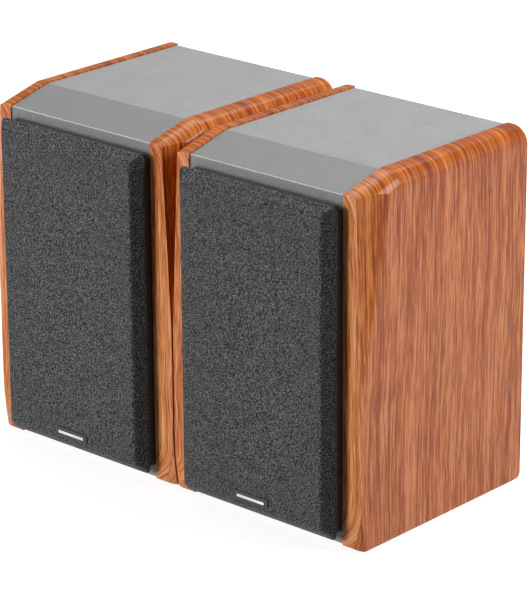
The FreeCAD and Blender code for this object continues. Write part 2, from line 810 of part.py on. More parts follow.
# ---------------------------------------------------------------- grille
def rounded_outline(width, z0, z1, corner, y):
    """A closed outline with rounded corners in the plane y."""
    half = width / 2
    c = corner
    k = c * (1 - math.sqrt(0.5))
    sides = [((-half + c, z0), (half - c, z0)), ((half, z0 + c), (half, z1 - c)),
             ((half - c, z1), (-half + c, z1)), ((-half, z1 - c), (-half, z0 + c))]
    bends = [(half - k, z0 + k), (half - k, z1 - k), (-half + k, z1 - k), (-half + k, z0 + k)]
    edges = []
    for i, (start, end) in enumerate(sides):
        after = sides[(i + 1) % 4][0]
        a, b, n, m = (V(x, y, z) for x, z in (start, end, after, bends[i]))
        edges.append(Part.LineSegment(a, b).toShape())
        edges.append(Part.Arc(b, m, n).toShape())
    return Part.Wire(edges)


def bevelled_block(inset, depth):
    """The grille's solid shape drawn in by inset all round: a lip, then the bevel to the front face."""
    back = -GRILLE_STAND_OFF
    shrink = inset * (math.sqrt(2) - 1)
    front_inset = inset + depth - GRILLE_LIP - shrink
    spots = [(inset, GRILLE_CORNER_R - inset, back),
             (inset, GRILLE_CORNER_R - inset, back - GRILLE_LIP - shrink + inset / 2),
             (front_inset, GRILLE_FRONT_CORNER_R, back - depth)]
    wires = [rounded_outline(2 * (grille_half() - off), grille_low() + off, grille_high() - off, corner, y)
             for off, corner, y in spots]
    lip = Part.makeLoft(wires[:2], True, True)
    return union([lip, Part.makeLoft(wires[1:], True, True)])


def make_grille_cloth():
    """Cloth stretched over the frame and turned in behind its rim."""
    back = -GRILLE_STAND_OFF
    t = CLOTH_THICKNESS
    skin = bevelled_block(0.0, GRILLE_LIP + GRILLE_BEVEL)
    skin = skin.cut(bevelled_block(t, GRILLE_LIP + GRILLE_BEVEL - t))
    hem_outer = rounded_plate(2 * grille_half(), grille_low(), grille_high(), GRILLE_CORNER_R, back, back + t)
    turn = CLOTH_TURN_IN
    hem_inner = box(turn - grille_half(), grille_half() - turn, back - EPS, back + t + EPS,
                    grille_low() + turn, grille_high() - turn)
    return union([skin, hem_outer.cut(hem_inner)])


def make_grille_frame():
    """Bevelled frame with two windows, a spacer ring behind it and six pegs."""
    back = -GRILLE_STAND_OFF
    plate = bevelled_block(CLOTH_THICKNESS, GRILLE_LIP + GRILLE_BEVEL - CLOTH_THICKNESS)
    half = grille_half() - FRAME_BORDER
    front = grille_front() - EPS
    bar_z = peg_spots()[1][1]
    windows = [(grille_low() + FRAME_BORDER, bar_z - FRAME_BAR / 2),
               (bar_z + FRAME_BAR / 2, grille_high() - FRAME_BORDER)]
    for z0, z1 in windows:
        plate = plate.cut(box(-half, half, front, back + EPS, z0, z1))
    # the bar stands back from the cloth so that it does not show through
    relief = box(-half, half, front, back - FRAME_THICKNESS, windows[0][1] - EPS, windows[1][0] + EPS)
    plate = plate.cut(relief)
    ring_low = grille_low() + SEAT_RING_MARGIN
    ring_high = grille_high() - SEAT_RING_MARGIN
    ring_half = grille_half() - SEAT_RING_SIDE
    outer = box(-ring_half, ring_half, back, -SEAT_GAP, ring_low, ring_high)
    wall = SEAT_RING_WALL
    inner = box(-ring_half + wall, ring_half - wall, back - EPS, 0,
                ring_low + wall, ring_high - wall)
    pieces = [plate, outer.cut(inner)]
    for x, z in peg_spots():
        side = 1 if x > 0 else -1
        # a web joins each peg's boss to the frame's border
        x0, x1 = sorted((x - side * PEG_BOSS_R, side * half))
        pieces.append(box(x0, x1, back - FRAME_THICKNESS, back, z - PEG_BOSS_R, z + PEG_BOSS_R))
        pieces.append(rod(x, z, PEG_BOSS_R, back, -SEAT_GAP))
        pieces.append(rod(x, z, PEG_R, back, PEG_DEPTH))
    return union(pieces)


def make_grille_badge():
    back = grille_front()
    front = back - BADGE_THICKNESS
    face = front + BADGE_BAR_PROUD
    plate = rounded_plate(BADGE_WIDTH, badge_z() - BADGE_HEIGHT / 2, badge_z() + BADGE_HEIGHT / 2,
                          BADGE_CORNER_R, face, back)
    bar = rounded_plate(BADGE_BAR_WIDTH, badge_z() - BADGE_BAR_HEIGHT / 2, badge_z() + BADGE_BAR_HEIGHT / 2,
                        BADGE_BAR_CORNER_R, front, face)
    return union([plate, bar])


# ---------------------------------------------------------------- rear pieces
def make_port_tube():
    y1 = rear_face()
    y0 = y1 - PORT_LENGTH
    outer_r = PORT_R + PORT_WALL
    tube = rod(0, port_z(), outer_r, y0, y1)
    throat = taper(0, port_z(), outer_r, outer_r + PORT_FLARE, y1 - PORT_FLARE, y1)
    flange = rod(0, port_z(), PORT_FLANGE_R, y1, y1 + PORT_FLANGE)
    body = union([tube, throat, flange])
    body = body.cut(rod(0, port_z(), PORT_R, y0 - EPS, y1 + PORT_FLANGE + EPS))
    end = y1 + PORT_FLANGE
    body = body.cut(taper(0, port_z(), PORT_R, PORT_R + PORT_FLARE, end - PORT_FLARE, end + TOUCH))
    for x, z in port_screw_spots():
        body = body.cut(screw_hole(x, z, y1 - EPS, end + EPS))
    return body


def make_rear_panel(active):
    half = inner_half()
    low = baffle_low()
    high = grey_top() - WALL
    y0 = rear_face() - REAR_THICKNESS
    y1 = rear_face()
    panel = box(-half, half, y0, y1, low, high)
    hole = PORT_R + PORT_WALL + PORT_FLARE + FIT
    panel = panel.cut(rod(0, port_z(), hole, y0 - EPS, y1 + EPS))
    for x, z in port_screw_spots():
        panel = panel.cut(screw_hole(x, z, y0 - EPS, y1 + EPS))
    if active:
        window_half = AMP_WIDTH / 2 - AMP_OVERLAP
        panel = panel.cut(box(-window_half, window_half, y0 - EPS, y1 + EPS,
                              amp_low() + AMP_OVERLAP, amp_high() - AMP_OVERLAP))
        spots = amp_screw_spots()
    else:
        body = CLIP_WIDTH - 2 * CLIP_BODY_INSET + 2 * FIT
        tall = CLIP_HEIGHT - 2 * CLIP_BODY_INSET + 2 * FIT
        panel = panel.cut(block(TERMINAL_X, terminal_z(), body, tall, y0 - EPS, y1 + EPS))
        spots = terminal_screw_spots()
    for x, z in spots:
        panel = panel.cut(screw_hole(x, z, y0 - EPS, y1 + EPS))
    return panel


def knob_spots():
    return {"volume_knob": -KNOB_PITCH, "treble_knob": 0.0, "bass_knob": KNOB_PITCH}


def make_knob(x):
    y0 = rear_face() + AMP_THICKNESS + KNOB_GAP
    y1 = y0 + KNOB_LENGTH
    knob = taper(x, knob_z(), KNOB_R, KNOB_END_R, y0, y1)
    rim = [e for e in knob.Edges if abs(e.CenterOfMass.y - y1) < 0.01 and len(e.Vertexes) == 1]
    knob = knob.makeFillet(KNOB_EDGE_R, rim)
    for c, s in around(KNOB_FLUTES):
        knob = knob.cut(rod(x + KNOB_R * c, knob_z() + KNOB_R * s, KNOB_FLUTE_R, y0 - EPS, y1 + EPS))
    mark = block(x, knob_z() + KNOB_MARK_RISE, KNOB_MARK_WIDTH, KNOB_MARK_LENGTH,
                 y1 - KNOB_MARK_DEPTH, y1 + EPS)
    shaft = rod(x, knob_z(), KNOB_SHAFT_R, y0 - KNOB_SHAFT_LENGTH, y0)
    return union([knob.cut(mark), shaft])


def phono_spots():
    return [(PHONO_X + sx * PHONO_PITCH_X / 2, phono_z() + sz * PHONO_PITCH_Z / 2)
            for sx in (-1, 1) for sz in (-1, 1)]


def make_phono_sockets():
    plate_out = rear_face() + AMP_THICKNESS
    face = plate_out + PHONO_BLOCK_FACE
    inner = rear_face() - PHONO_BLOCK_DEPTH
    body = union([block(PHONO_X, phono_z(), PHONO_BLOCK_WIDTH, PHONO_BLOCK_HEIGHT, plate_out, face),
                  block(PHONO_X, phono_z(), PHONO_PLUG, PHONO_PLUG, inner, plate_out)])
    barrels = [rod(x, z, PHONO_R, face, face + PHONO_LENGTH) for x, z in phono_spots()]
    body = union([body] + barrels)
    for x, z in phono_spots():
        body = body.cut(rod(x, z, PHONO_BORE_R, face, face + PHONO_LENGTH + EPS))
    return body


def make_clip_block(x, z, face, screws):
    """Spring-clip terminal: a flanged block with two lever pockets and two wire holes."""
    plate = block(x, z, CLIP_WIDTH, CLIP_HEIGHT, face, face + CLIP_FACE)
    body = block(x, z, CLIP_WIDTH - 2 * CLIP_BODY_INSET, CLIP_HEIGHT - 2 * CLIP_BODY_INSET,
                 face - CLIP_DEPTH, face)
    part = union([plate, body])
    for side in (-1, 1):
        lx = x + side * LEVER_PITCH / 2
        pocket = lever_pocket(lx, z, face)
        part = part.cut(pocket)
        y_pin, z_pin = lever_pin(z, face)
        reach = LEVER_WIDTH / 2 + 2 * LEVER_PIN_R
        part = part.cut(cross_rod(lx - reach, lx + reach, y_pin, z_pin, LEVER_PIN_R + RUNNING_FIT))
        hole_z = z - WIRE_HOLE_DROP
        out = face + CLIP_FACE
        part = part.cut(rod(lx, hole_z, WIRE_HOLE_R, out - WIRE_HOLE_DEPTH, out + EPS))
    for sx, sz in screws:
        part = part.cut(screw_hole(sx, sz, face - EPS, face + CLIP_FACE + EPS))
    return part


def lever_middle(z):
    return z + CLIP_HEIGHT / 2 - CLIP_BODY_INSET - LEVER_CASE - LEVER_TOP_GAP - LEVER_HEIGHT / 2


def lever_pocket(x, z, face):
    width = LEVER_WIDTH + 2 * MOVING_GAP
    top = lever_middle(z) + LEVER_HEIGHT / 2 + LEVER_TOP_GAP
    bottom = lever_middle(z) - LEVER_HEIGHT / 2 - MOVING_GAP
    out = face + CLIP_FACE
    return box(x - width / 2, x + width / 2, out - LEVER_POCKET_DEPTH, out + EPS, bottom, top)


def lever_pin(z, face):
    """Centre of the lever's pin, at its lower end."""
    return face + CLIP_FACE - LEVER_THICKNESS / 2, lever_middle(z) - LEVER_HEIGHT / 2 + LEVER_THICKNESS / 2


def make_lever(x, z, face):
    y_pin, z_pin = lever_pin(z, face)
    half = LEVER_WIDTH / 2
    top = lever_middle(z) + LEVER_HEIGHT / 2
    y0 = y_pin - LEVER_THICKNESS / 2
    y1 = y_pin + LEVER_THICKNESS / 2
    barrel = cross_rod(x - half, x + half, y_pin, z_pin, LEVER_THICKNESS / 2)
    arm = box(x - half, x + half, y0, y1, z_pin, top)
    thumb = box(x - half, x + half, y1, y1 + LEVER_THICKNESS / 2, top - LEVER_THICKNESS, top)
    pin_half = half + 2 * LEVER_PIN_R - RUNNING_FIT
    pin = cross_rod(x - pin_half, x + pin_half, y_pin, z_pin, LEVER_PIN_R)
    return union([barrel, arm, thumb, pin])


def make_amp_plate():
    half = AMP_WIDTH / 2
    y0 = rear_face()
    y1 = y0 + AMP_THICKNESS
    corner = AMP_OVERLAP / 3
    plate = rounded_plate(AMP_WIDTH, amp_low(), amp_high(), corner, y0, y1)
    for x in knob_spots().values():
        plate = plate.cut(rod(x, knob_z(), KNOB_SHAFT_R + RUNNING_FIT, y0 - EPS, y1 + EPS))
    plug = PHONO_PLUG + 2 * FIT
    plate = plate.cut(block(PHONO_X, phono_z(), plug, plug, y0 - EPS, y1 + EPS))
    wide = CLIP_WIDTH - 2 * CLIP_BODY_INSET + 2 * FIT
    tall = CLIP_HEIGHT - 2 * CLIP_BODY_INSET + 2 * FIT
    plate = plate.cut(block(CLIP_X, clip_z(), wide, tall, y0 - EPS, y1 + EPS))
    rocker_w = ROCKER_WIDTH + 2 * MOVING_GAP
    rocker_h = ROCKER_HEIGHT + 2 * MOVING_GAP
    plate = plate.cut(block(ROCKER_X, rocker_z(), rocker_w, rocker_h, y0 - EPS, y1 + EPS))
    inlet_w = INLET_WIDTH + 2 * INLET_WALL + 2 * FIT
    inlet_h = INLET_HEIGHT + 2 * INLET_WALL + 2 * FIT
    plate = plate.cut(block(INLET_X, inlet_z(), inlet_w, inlet_h, y0 - EPS, y1 + EPS))
    # rocker housing behind the plate, with the holes its pin turns in
    wall = ROCKER_FRAME
    y_back = y0 - ROCKER_DEPTH
    housing = block(ROCKER_X, rocker_z(), rocker_w + 2 * wall, rocker_h + 2 * wall, y_back, y0)
    housing = housing.cut(block(ROCKER_X, rocker_z(), rocker_w, rocker_h, y_back + wall, y0 + EPS))
    frame = block(ROCKER_X, rocker_z(), rocker_w + 2 * wall, rocker_h + 2 * wall, y1, y1 + wall / 2)
    frame = frame.cut(block(ROCKER_X, rocker_z(), rocker_w, rocker_h, y0, y1 + wall))
    plate = union([plate, housing, frame])
    reach = rocker_w / 2 + wall / 2
    y_pin = rocker_pin_y()
    pin_hole_r = ROCKER_PIN_R + RUNNING_FIT
    plate = plate.cut(cross_rod(ROCKER_X - reach, ROCKER_X + reach, y_pin, rocker_z(), pin_hole_r))
    for x, z in amp_screw_spots():
        plate = plate.cut(screw_hole(x, z, y0 - EPS, y1 + EPS))
    return plate


def rocker_pin_y():
    return rear_face() - ROCKER_DEPTH / 2 + ROCKER_FRAME / 2


def make_power_rocker():
    """Rocker pressed at its upper end; its outer face is a shallow V."""
    y_pin = rocker_pin_y()
    out = rear_face() + AMP_THICKNESS + ROCKER_FRAME / 2
    half = ROCKER_HEIGHT / 2
    lift = half * math.tan(math.radians(ROCKER_TILT))
    end = half - ROCKER_END_GAP
    skirt = y_pin + ROCKER_SKIRT
    keel = y_pin - ROCKER_KEEL
    points = [(out, 0), (out + lift, end), (skirt, end), (keel, 0), (skirt, -end), (out + lift, -end)]
    body = side_prism([(y, rocker_z() + z) for y, z in points],
                      ROCKER_X - ROCKER_WIDTH / 2, ROCKER_X + ROCKER_WIDTH / 2)
    reach = ROCKER_WIDTH / 2 + MOVING_GAP + ROCKER_FRAME / 2 - RUNNING_FIT
    wide = ROCKER_WIDTH / 2
    barrel = cross_rod(ROCKER_X - wide, ROCKER_X + wide, y_pin, rocker_z(), ROCKER_BARREL_R)
    pin = cross_rod(ROCKER_X - reach, ROCKER_X + reach, y_pin, rocker_z(), ROCKER_PIN_R)
    rocker = union([body, barrel, pin])
    rocker.rotate(V(ROCKER_X, y_pin, rocker_z()), V(1, 0, 0), -ROCKER_TILT)
    return rocker


def make_mains_inlet():
    """Two-pin appliance inlet: a rounded socket with its pins."""
    face = rear_face() + AMP_THICKNESS
    out = face + INLET_FACE
    wide = INLET_WIDTH + 2 * INLET_WALL
    tall = INLET_HEIGHT + 2 * INLET_WALL
    flange = block(INLET_X, inlet_z(), wide + 2 * INLET_RIM, tall + 2 * INLET_RIM, face, out)
    body = block(INLET_X, inlet_z(), wide, tall, out - INLET_DEPTH - INLET_WALL, face)
    inlet = union([flange, body])
    inset = (INLET_WIDTH - INLET_HEIGHT) / 2
    bottom = out - INLET_DEPTH
    socket = union([block(INLET_X, inlet_z(), 2 * inset, INLET_HEIGHT, bottom, out + EPS),
                    rod(INLET_X - inset, inlet_z(), INLET_HEIGHT / 2, bottom, out + EPS),
                    rod(INLET_X + inset, inlet_z(), INLET_HEIGHT / 2, bottom, out + EPS)])
    inlet = inlet.cut(socket)
    pins = [rod(INLET_X + side * INLET_PIN_PITCH / 2, inlet_z(), INLET_PIN_R, bottom - EPS,
                bottom + INLET_PIN_LENGTH) for side in (-1, 1)]
    return union([inlet] + pins)


def make_amp_board():
    """Board behind the plate on four posts, with a finned heat sink and its parts."""
    y1 = rear_face() - BOARD_SET_BACK
    y0 = y1 - BOARD_THICKNESS
    low = baffle_low() + TRANSFORMER_HEIGHT + BOARD_RISE
    high = low + BOARD_HEIGHT
    half = BOARD_WIDTH / 2
    pieces = [box(-half, half, y0, y1, low, high)]
    for x in (-half + POST_INSET, half - POST_INSET):
        for z in (low + POST_INSET, high - POST_INSET):
            pieces.append(rod(x, z, POST_R, y1, rear_face()))
    sink_low = high - SINK_HEIGHT - POST_INSET
    pieces.append(box(-SINK_WIDTH / 2, SINK_WIDTH / 2, y0 - SINK_DEPTH, y0, sink_low, sink_low + SINK_BASE))
    pitch_x = (SINK_WIDTH - SINK_FIN) / (SINK_FINS - 1)
    for i in range(SINK_FINS):
        x = -SINK_WIDTH / 2 + i * pitch_x
        pieces.append(box(x, x + SINK_FIN, y0 - SINK_DEPTH, y0, sink_low, sink_low + SINK_HEIGHT))
    row = low + BOARD_HEIGHT / 5
    for i in range(2):
        x = -half / 2 - i * 3 * BIG_CAPACITOR_R
        pieces.append(rod(x, row, BIG_CAPACITOR_R, y0 - BIG_CAPACITOR_LENGTH, y0))
    for i in range(3):
        x = i * 3.5 * SMALL_CAPACITOR_R
        pieces.append(rod(x, row, SMALL_CAPACITOR_R, y0 - SMALL_CAPACITOR_LENGTH, y0))
    pieces.append(block(0, low + BOARD_HEIGHT / 2, CHIP_SIZE, CHIP_SIZE, y0 - CHIP_HEIGHT, y0))
    return union(pieces)


def make_transformer():
    """Laminated core standing on the cabinet's floor, its winding round the middle leg."""
    floor = baffle_low()
    y1 = rear_face() - REAR_THICKNESS - TRANSFORMER_SET_BACK
    y0 = y1 - TRANSFORMER_DEPTH
    half = TRANSFORMER_WIDTH / 2
    grow = TRANSFORMER_COIL_GROWTH
    core = box(-half, half, y0 + grow, y1 - grow, floor, floor + TRANSFORMER_HEIGHT)
    leg = TRANSFORMER_WIDTH / 6
    winding = box(-half + leg, half - leg, y0, y1, floor + leg, floor + TRANSFORMER_HEIGHT - leg)
    return union([core, winding])


def make_crossover():
    """Small board on posts behind the left speaker's rear panel, with its coil and capacitors."""
    y1 = rear_face() - CROSSOVER_SET_BACK
    y0 = y1 - BOARD_THICKNESS
    inner = rear_face() - REAR_THICKNESS
    low = terminal_z() + CROSSOVER_RISE
    high = low + CROSSOVER_HEIGHT
    half = CROSSOVER_WIDTH / 2
    pieces = [box(-half, half, y0, y1, low, high)]
    for x in (-half + POST_INSET, half - POST_INSET):
        for z in (low + POST_INSET, high - POST_INSET):
            pieces.append(rod(x, z, POST_R, y1, inner))
    middle = (low + high) / 2
    pieces.append(ring(-half / 3, middle, CHOKE_R, CHOKE_R / 2, y0 - CHOKE_LENGTH, y0))
    pieces.append(rod(half / 2, middle, BIG_CAPACITOR_R, y0 - BIG_CAPACITOR_LENGTH, y0))
    return union(pieces)


def make_screws(active):
    screws = []
    for x, z in woofer_screw_spots():
        screws.append(screw(x, z, flange_face(), 1))
    for x, z in tweeter_screw_spots():
        screws.append(screw(x, z, tweeter_face(), 1))
    for x, z in port_screw_spots():
        screws.append(screw(x, z, rear_face() + PORT_FLANGE, -1))
    if active:
        for x, z in amp_screw_spots():
            screws.append(screw(x, z, rear_face() + AMP_THICKNESS, -1))
    else:
        for x, z in terminal_screw_spots():
            screws.append(screw(x, z, rear_face() + CLIP_FACE, -1))
    return Part.makeCompound(screws)


# ---------------------------------------------------------------- both speakers
def speaker_pieces(active):
    cheek = make_cheek()
    away = cheek if active else mirrored(cheek)
    near = mirrored(cheek) if active else cheek
    pieces = {
        "cabinet": make_cabinet(),
        "cheek_outer": away,
        "cheek_inner": near,
        "baffle": make_baffle(),
        "rear_panel": make_rear_panel(active),
        "feet": make_feet(),
        "grille_frame": make_grille_frame(),
        "grille_cloth": make_grille_cloth(),
        "grille_badge": make_grille_badge(),
        "grille_cups": make_grille_cups(),
        "woofer_basket": make_woofer_basket(),
        "woofer_motor": make_woofer_motor(),
        "woofer_cone": make_woofer_cone(),
        "woofer_coil": make_woofer_coil(),
        "woofer_dust_cap": make_dust_cap(),
        "woofer_surround": make_surround(),
        "woofer_spider": make_spider(),
        "tweeter_plate": make_tweeter_plate(),
        "tweeter_motor": make_tweeter_motor(),
        "tweeter_dome": make_tweeter_dome(),
        "screws": make_screws(active),
        "port_tube": make_port_tube(),
    }
    face = rear_face()
    if active:
        plate_out = face + AMP_THICKNESS
        for name, x in knob_spots().items():
            pieces[name] = make_knob(x)
        pieces["amp_plate"] = make_amp_plate()
        pieces["phono_sockets"] = make_phono_sockets()
        pieces["output_clips"] = make_clip_block(CLIP_X, clip_z(), plate_out, [])
        pieces["output_lever_red"] = make_lever(CLIP_X + LEVER_PITCH / 2, clip_z(), plate_out)
        pieces["output_lever_black"] = make_lever(CLIP_X - LEVER_PITCH / 2, clip_z(), plate_out)
        pieces["power_rocker"] = make_power_rocker()
        pieces["mains_inlet"] = make_mains_inlet()
        pieces["amp_board"] = make_amp_board()
        pieces["transformer"] = make_transformer()
    else:
        pieces["terminal_cup"] = make_clip_block(TERMINAL_X, terminal_z(), face, terminal_screw_spots())
        pieces["lever_red"] = make_lever(TERMINAL_X + LEVER_PITCH / 2, terminal_z(), face)
        pieces["lever_black"] = make_lever(TERMINAL_X - LEVER_PITCH / 2, terminal_z(), face)
        pieces["crossover"] = make_crossover()
    return pieces


def export_all():
    os.makedirs("parts", exist_ok=True)
    for prefix, active, side in (("right", True, 1), ("left", False, -1)):
        for name, shape in speaker_pieces(active).items():
            placed = shape.copy()
            placed.translate(V(side * pitch() / 2, centre_shift(), 0))
            placed.exportStep("parts/" + prefix + "_" + name + ".step")


export_all()
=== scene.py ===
import json
import math

import bpy
from mathutils import Matrix, Vector


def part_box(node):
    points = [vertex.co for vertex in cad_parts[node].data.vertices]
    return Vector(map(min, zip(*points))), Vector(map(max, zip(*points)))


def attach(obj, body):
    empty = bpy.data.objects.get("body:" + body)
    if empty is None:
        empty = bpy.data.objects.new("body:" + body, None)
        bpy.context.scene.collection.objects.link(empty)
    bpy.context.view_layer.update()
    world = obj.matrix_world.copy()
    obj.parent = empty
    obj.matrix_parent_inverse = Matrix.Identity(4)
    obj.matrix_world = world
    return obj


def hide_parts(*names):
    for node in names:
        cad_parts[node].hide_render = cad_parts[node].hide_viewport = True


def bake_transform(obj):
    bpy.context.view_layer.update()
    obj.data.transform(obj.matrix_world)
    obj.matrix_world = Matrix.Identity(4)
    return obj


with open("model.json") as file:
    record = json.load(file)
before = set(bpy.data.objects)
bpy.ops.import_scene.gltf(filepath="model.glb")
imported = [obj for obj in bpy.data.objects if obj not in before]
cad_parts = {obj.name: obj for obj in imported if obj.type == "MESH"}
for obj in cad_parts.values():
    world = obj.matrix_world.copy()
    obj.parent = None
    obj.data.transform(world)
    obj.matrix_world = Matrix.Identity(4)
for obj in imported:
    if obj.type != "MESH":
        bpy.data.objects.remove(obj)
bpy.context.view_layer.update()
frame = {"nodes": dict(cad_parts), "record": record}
NODES = frame["nodes"]
SIDES = ("left", "right")
MM = 0.001

# ---------------------------------------------------------------- camera
CAMERA_AIM = (0.20465, -0.2152, 0.2165)
CAMERA_AZIMUTH = 41.97
CAMERA_ELEVATION = 20.09
CAMERA_ROLL = -0.32
CAMERA_DISTANCE = 1.762
CAMERA_LENS = 188.16
CAMERA_SHIFT = (-0.0042, 0.005)

# ---------------------------------------------------------------- side boards
CHEEK_MIDDLE_Z = 123.5 * MM
CHEEK_STRAIGHT_HALF = 94.0 * MM    # the front edge's grain runs straight this far up and down from the middle

# ---------------------------------------------------------------- grille cloth
CLOTH_SKIN = 0.7 * MM
CLOTH_LIP = 0.8 * MM
CLOTH_BEVEL = 6.6 * MM
CLOTH_CORNER = 4.0 * MM
CLOTH_FRONT_CORNER = 3.0 * MM
CLOTH_HEM = 1.6 * MM
CLOTH_ROUND = 2.3 * MM
CLOTH_SIDE_POINTS = 40
CLOTH_CORNER_POINTS = 8
CLOTH_RINGS = 14
CLOTH_SAG = 0.12 * MM      # how far the front sinks between the frame's bars

# ---------------------------------------------------------------- woofer surround
ROLL_THICKNESS = 0.8 * MM
ROLL_STEPS = 14
ROLL_SECTORS = 12
ROLL_ARC_STEPS = 8


def make_camera():
    """The camera, placed by angles about a point beside the pair."""
    a = math.radians(CAMERA_AZIMUTH)
    e = math.radians(CAMERA_ELEVATION)
    r = math.radians(CAMERA_ROLL)
    back = Vector((math.sin(a) * math.cos(e), -math.cos(a) * math.cos(e), math.sin(e)))
    right = (-back).cross(Vector((0, 0, 1))).normalized()
    up = right.cross(-back)
    x = math.cos(r) * right + math.sin(r) * up
    y = -math.sin(r) * right + math.cos(r) * up
    data = bpy.data.cameras.new("camera")
    camera = bpy.data.objects.new("camera", data)
    bpy.context.scene.collection.objects.link(camera)
    turn = Matrix((x, y, back)).transposed().to_4x4()
    camera.matrix_world = Matrix.Translation(Vector(CAMERA_AIM) + back * CAMERA_DISTANCE) @ turn
    data.sensor_width = 36
    data.lens = CAMERA_LENS
    data.shift_x, data.shift_y = CAMERA_SHIFT
    data.clip_start, data.clip_end = 0.05, 50
    bpy.context.scene.camera = camera


# ---------------------------------------------------------------- node helpers
class Nodes:
    """One material's node tree, with short calls for the nodes used here."""

    def __init__(self, name):
        self.material = bpy.data.materials.new(name)
        self.material.use_nodes = True
        self.tree = self.material.node_tree
        self.tree.nodes.clear()
        self.shader = self.add("ShaderNodeBsdfPrincipled")
        output = self.add("ShaderNodeOutputMaterial")
        self.link(self.shader.outputs["BSDF"], output.inputs["Surface"])
        self.place = self.add("ShaderNodeTexCoord").outputs["Object"]

    def add(self, kind, **values):
        node = self.tree.nodes.new(kind)
        for key, value in values.items():
            setattr(node, key, value)
        return node

    def link(self, a, b):
        self.tree.links.new(a, b)

    def feed(self, socket, value):
        if isinstance(value, bpy.types.NodeSocket):
            self.link(value, socket)
        else:
            socket.default_value = value

    def math(self, operation, a, b=0.0):
        node = self.add("ShaderNodeMath", operation=operation)
        self.feed(node.inputs[0], a)
        self.feed(node.inputs[1], b)
        return node.outputs[0]

    def vector(self, operation, a, b):
        node = self.add("ShaderNodeVectorMath", operation=operation)
        self.feed(node.inputs[0], a)
        self.feed(node.inputs[1], b)
        return node.outputs[0]

    def parts(self, vector):
        node = self.add("ShaderNodeSeparateXYZ")
        self.link(vector, node.inputs[0])
        return node.outputs

    def join(self, x, y, z):
        node = self.add("ShaderNodeCombineXYZ")
        for socket, value in zip(node.inputs, (x, y, z)):
            self.feed(socket, value)
        return node.outputs[0]

    def noise(self, vector, scale=1.0, detail=2.0, rough=0.5, distortion=0.0):
        node = self.add("ShaderNodeTexNoise")
        self.feed(node.inputs["Vector"], vector)
        node.inputs["Scale"].default_value = scale
        node.inputs["Detail"].default_value = detail
        node.inputs["Roughness"].default_value = rough
        node.inputs["Distortion"].default_value = distortion
        return node.outputs["Fac"]

    def cells(self, vector, scale=1.0, feature="F1", random=1.0):
        node = self.add("ShaderNodeTexVoronoi", feature=feature)
        self.feed(node.inputs["Vector"], vector)
        node.inputs["Scale"].default_value = scale
        node.inputs["Randomness"].default_value = random
        return node.outputs["Distance"]

    def remap(self, value, low, high, out_low=0.0, out_high=1.0, smooth=False):
        node = self.add("ShaderNodeMapRange", clamp=True)
        node.interpolation_type = "SMOOTHSTEP" if smooth else "LINEAR"
        self.feed(node.inputs["Value"], value)
        for key, number in zip(("From Min", "From Max", "To Min", "To Max"), (low, high, out_low, out_high)):
            node.inputs[key].default_value = number
        return node.outputs["Result"]

    def ramp(self, value, stops):
        node = self.add("ShaderNodeValToRGB")
        self.feed(node.inputs[0], value)
        elements = node.color_ramp.elements
        while len(elements) < len(stops):
            elements.new(0.5)
        for element, (spot, colour) in zip(elements, stops):
            element.position = spot
            element.color = (*colour, 1)
        return node.outputs["Color"]

    def mix(self, share, a, b, blend="MIX"):
        node = self.add("ShaderNodeMix", data_type="RGBA", blend_type=blend)
        self.feed(node.inputs[0], share)
        for socket, value in zip((node.inputs[6], node.inputs[7]), (a, b)):
            self.feed(socket, (*value, 1) if isinstance(value, tuple) else value)
        return node.outputs[2]

    def bump(self, height, strength, distance):
        node = self.add("ShaderNodeBump")
        node.inputs["Strength"].default_value = strength
        node.inputs["Distance"].default_value = distance
        self.link(height, node.inputs["Height"])
        return node.outputs["Normal"]

    def painted_edge_glint(self, radius):
        """1 along convex edges, 0 on flat faces: the mask for a painted highlight along edges."""
        bevel = self.add("ShaderNodeBevel", samples=4)
        bevel.inputs["Radius"].default_value = radius
        plain = self.add("ShaderNodeNewGeometry").outputs["Normal"]
        node = self.add("ShaderNodeVectorMath", operation="DOT_PRODUCT")
        self.link(bevel.outputs[0], node.inputs[0])
        self.link(plain, node.inputs[1])
        return self.remap(node.outputs["Value"], 0.93, 0.995, 1.0, 0.0)

    def finish(self, colour, rough, normal=None, **constants):
        self.feed(self.shader.inputs["Base Color"], colour if not isinstance(colour, tuple) else (*colour, 1))
        self.feed(self.shader.inputs["Roughness"], rough)
        if normal is not None:
            self.link(normal, self.shader.inputs["Normal"])
        for key, value in constants.items():
            self.shader.inputs[key.replace("_", " ")].default_value = value
        return self.material


def tone(r, g, b):
    """A colour given as it looks on a screen, 0 to 255, made linear."""
    return tuple((c / 255 / 12.92) if c < 11 else ((c / 255 + 0.055) / 1.055) ** 2.4 for c in (r, g, b))


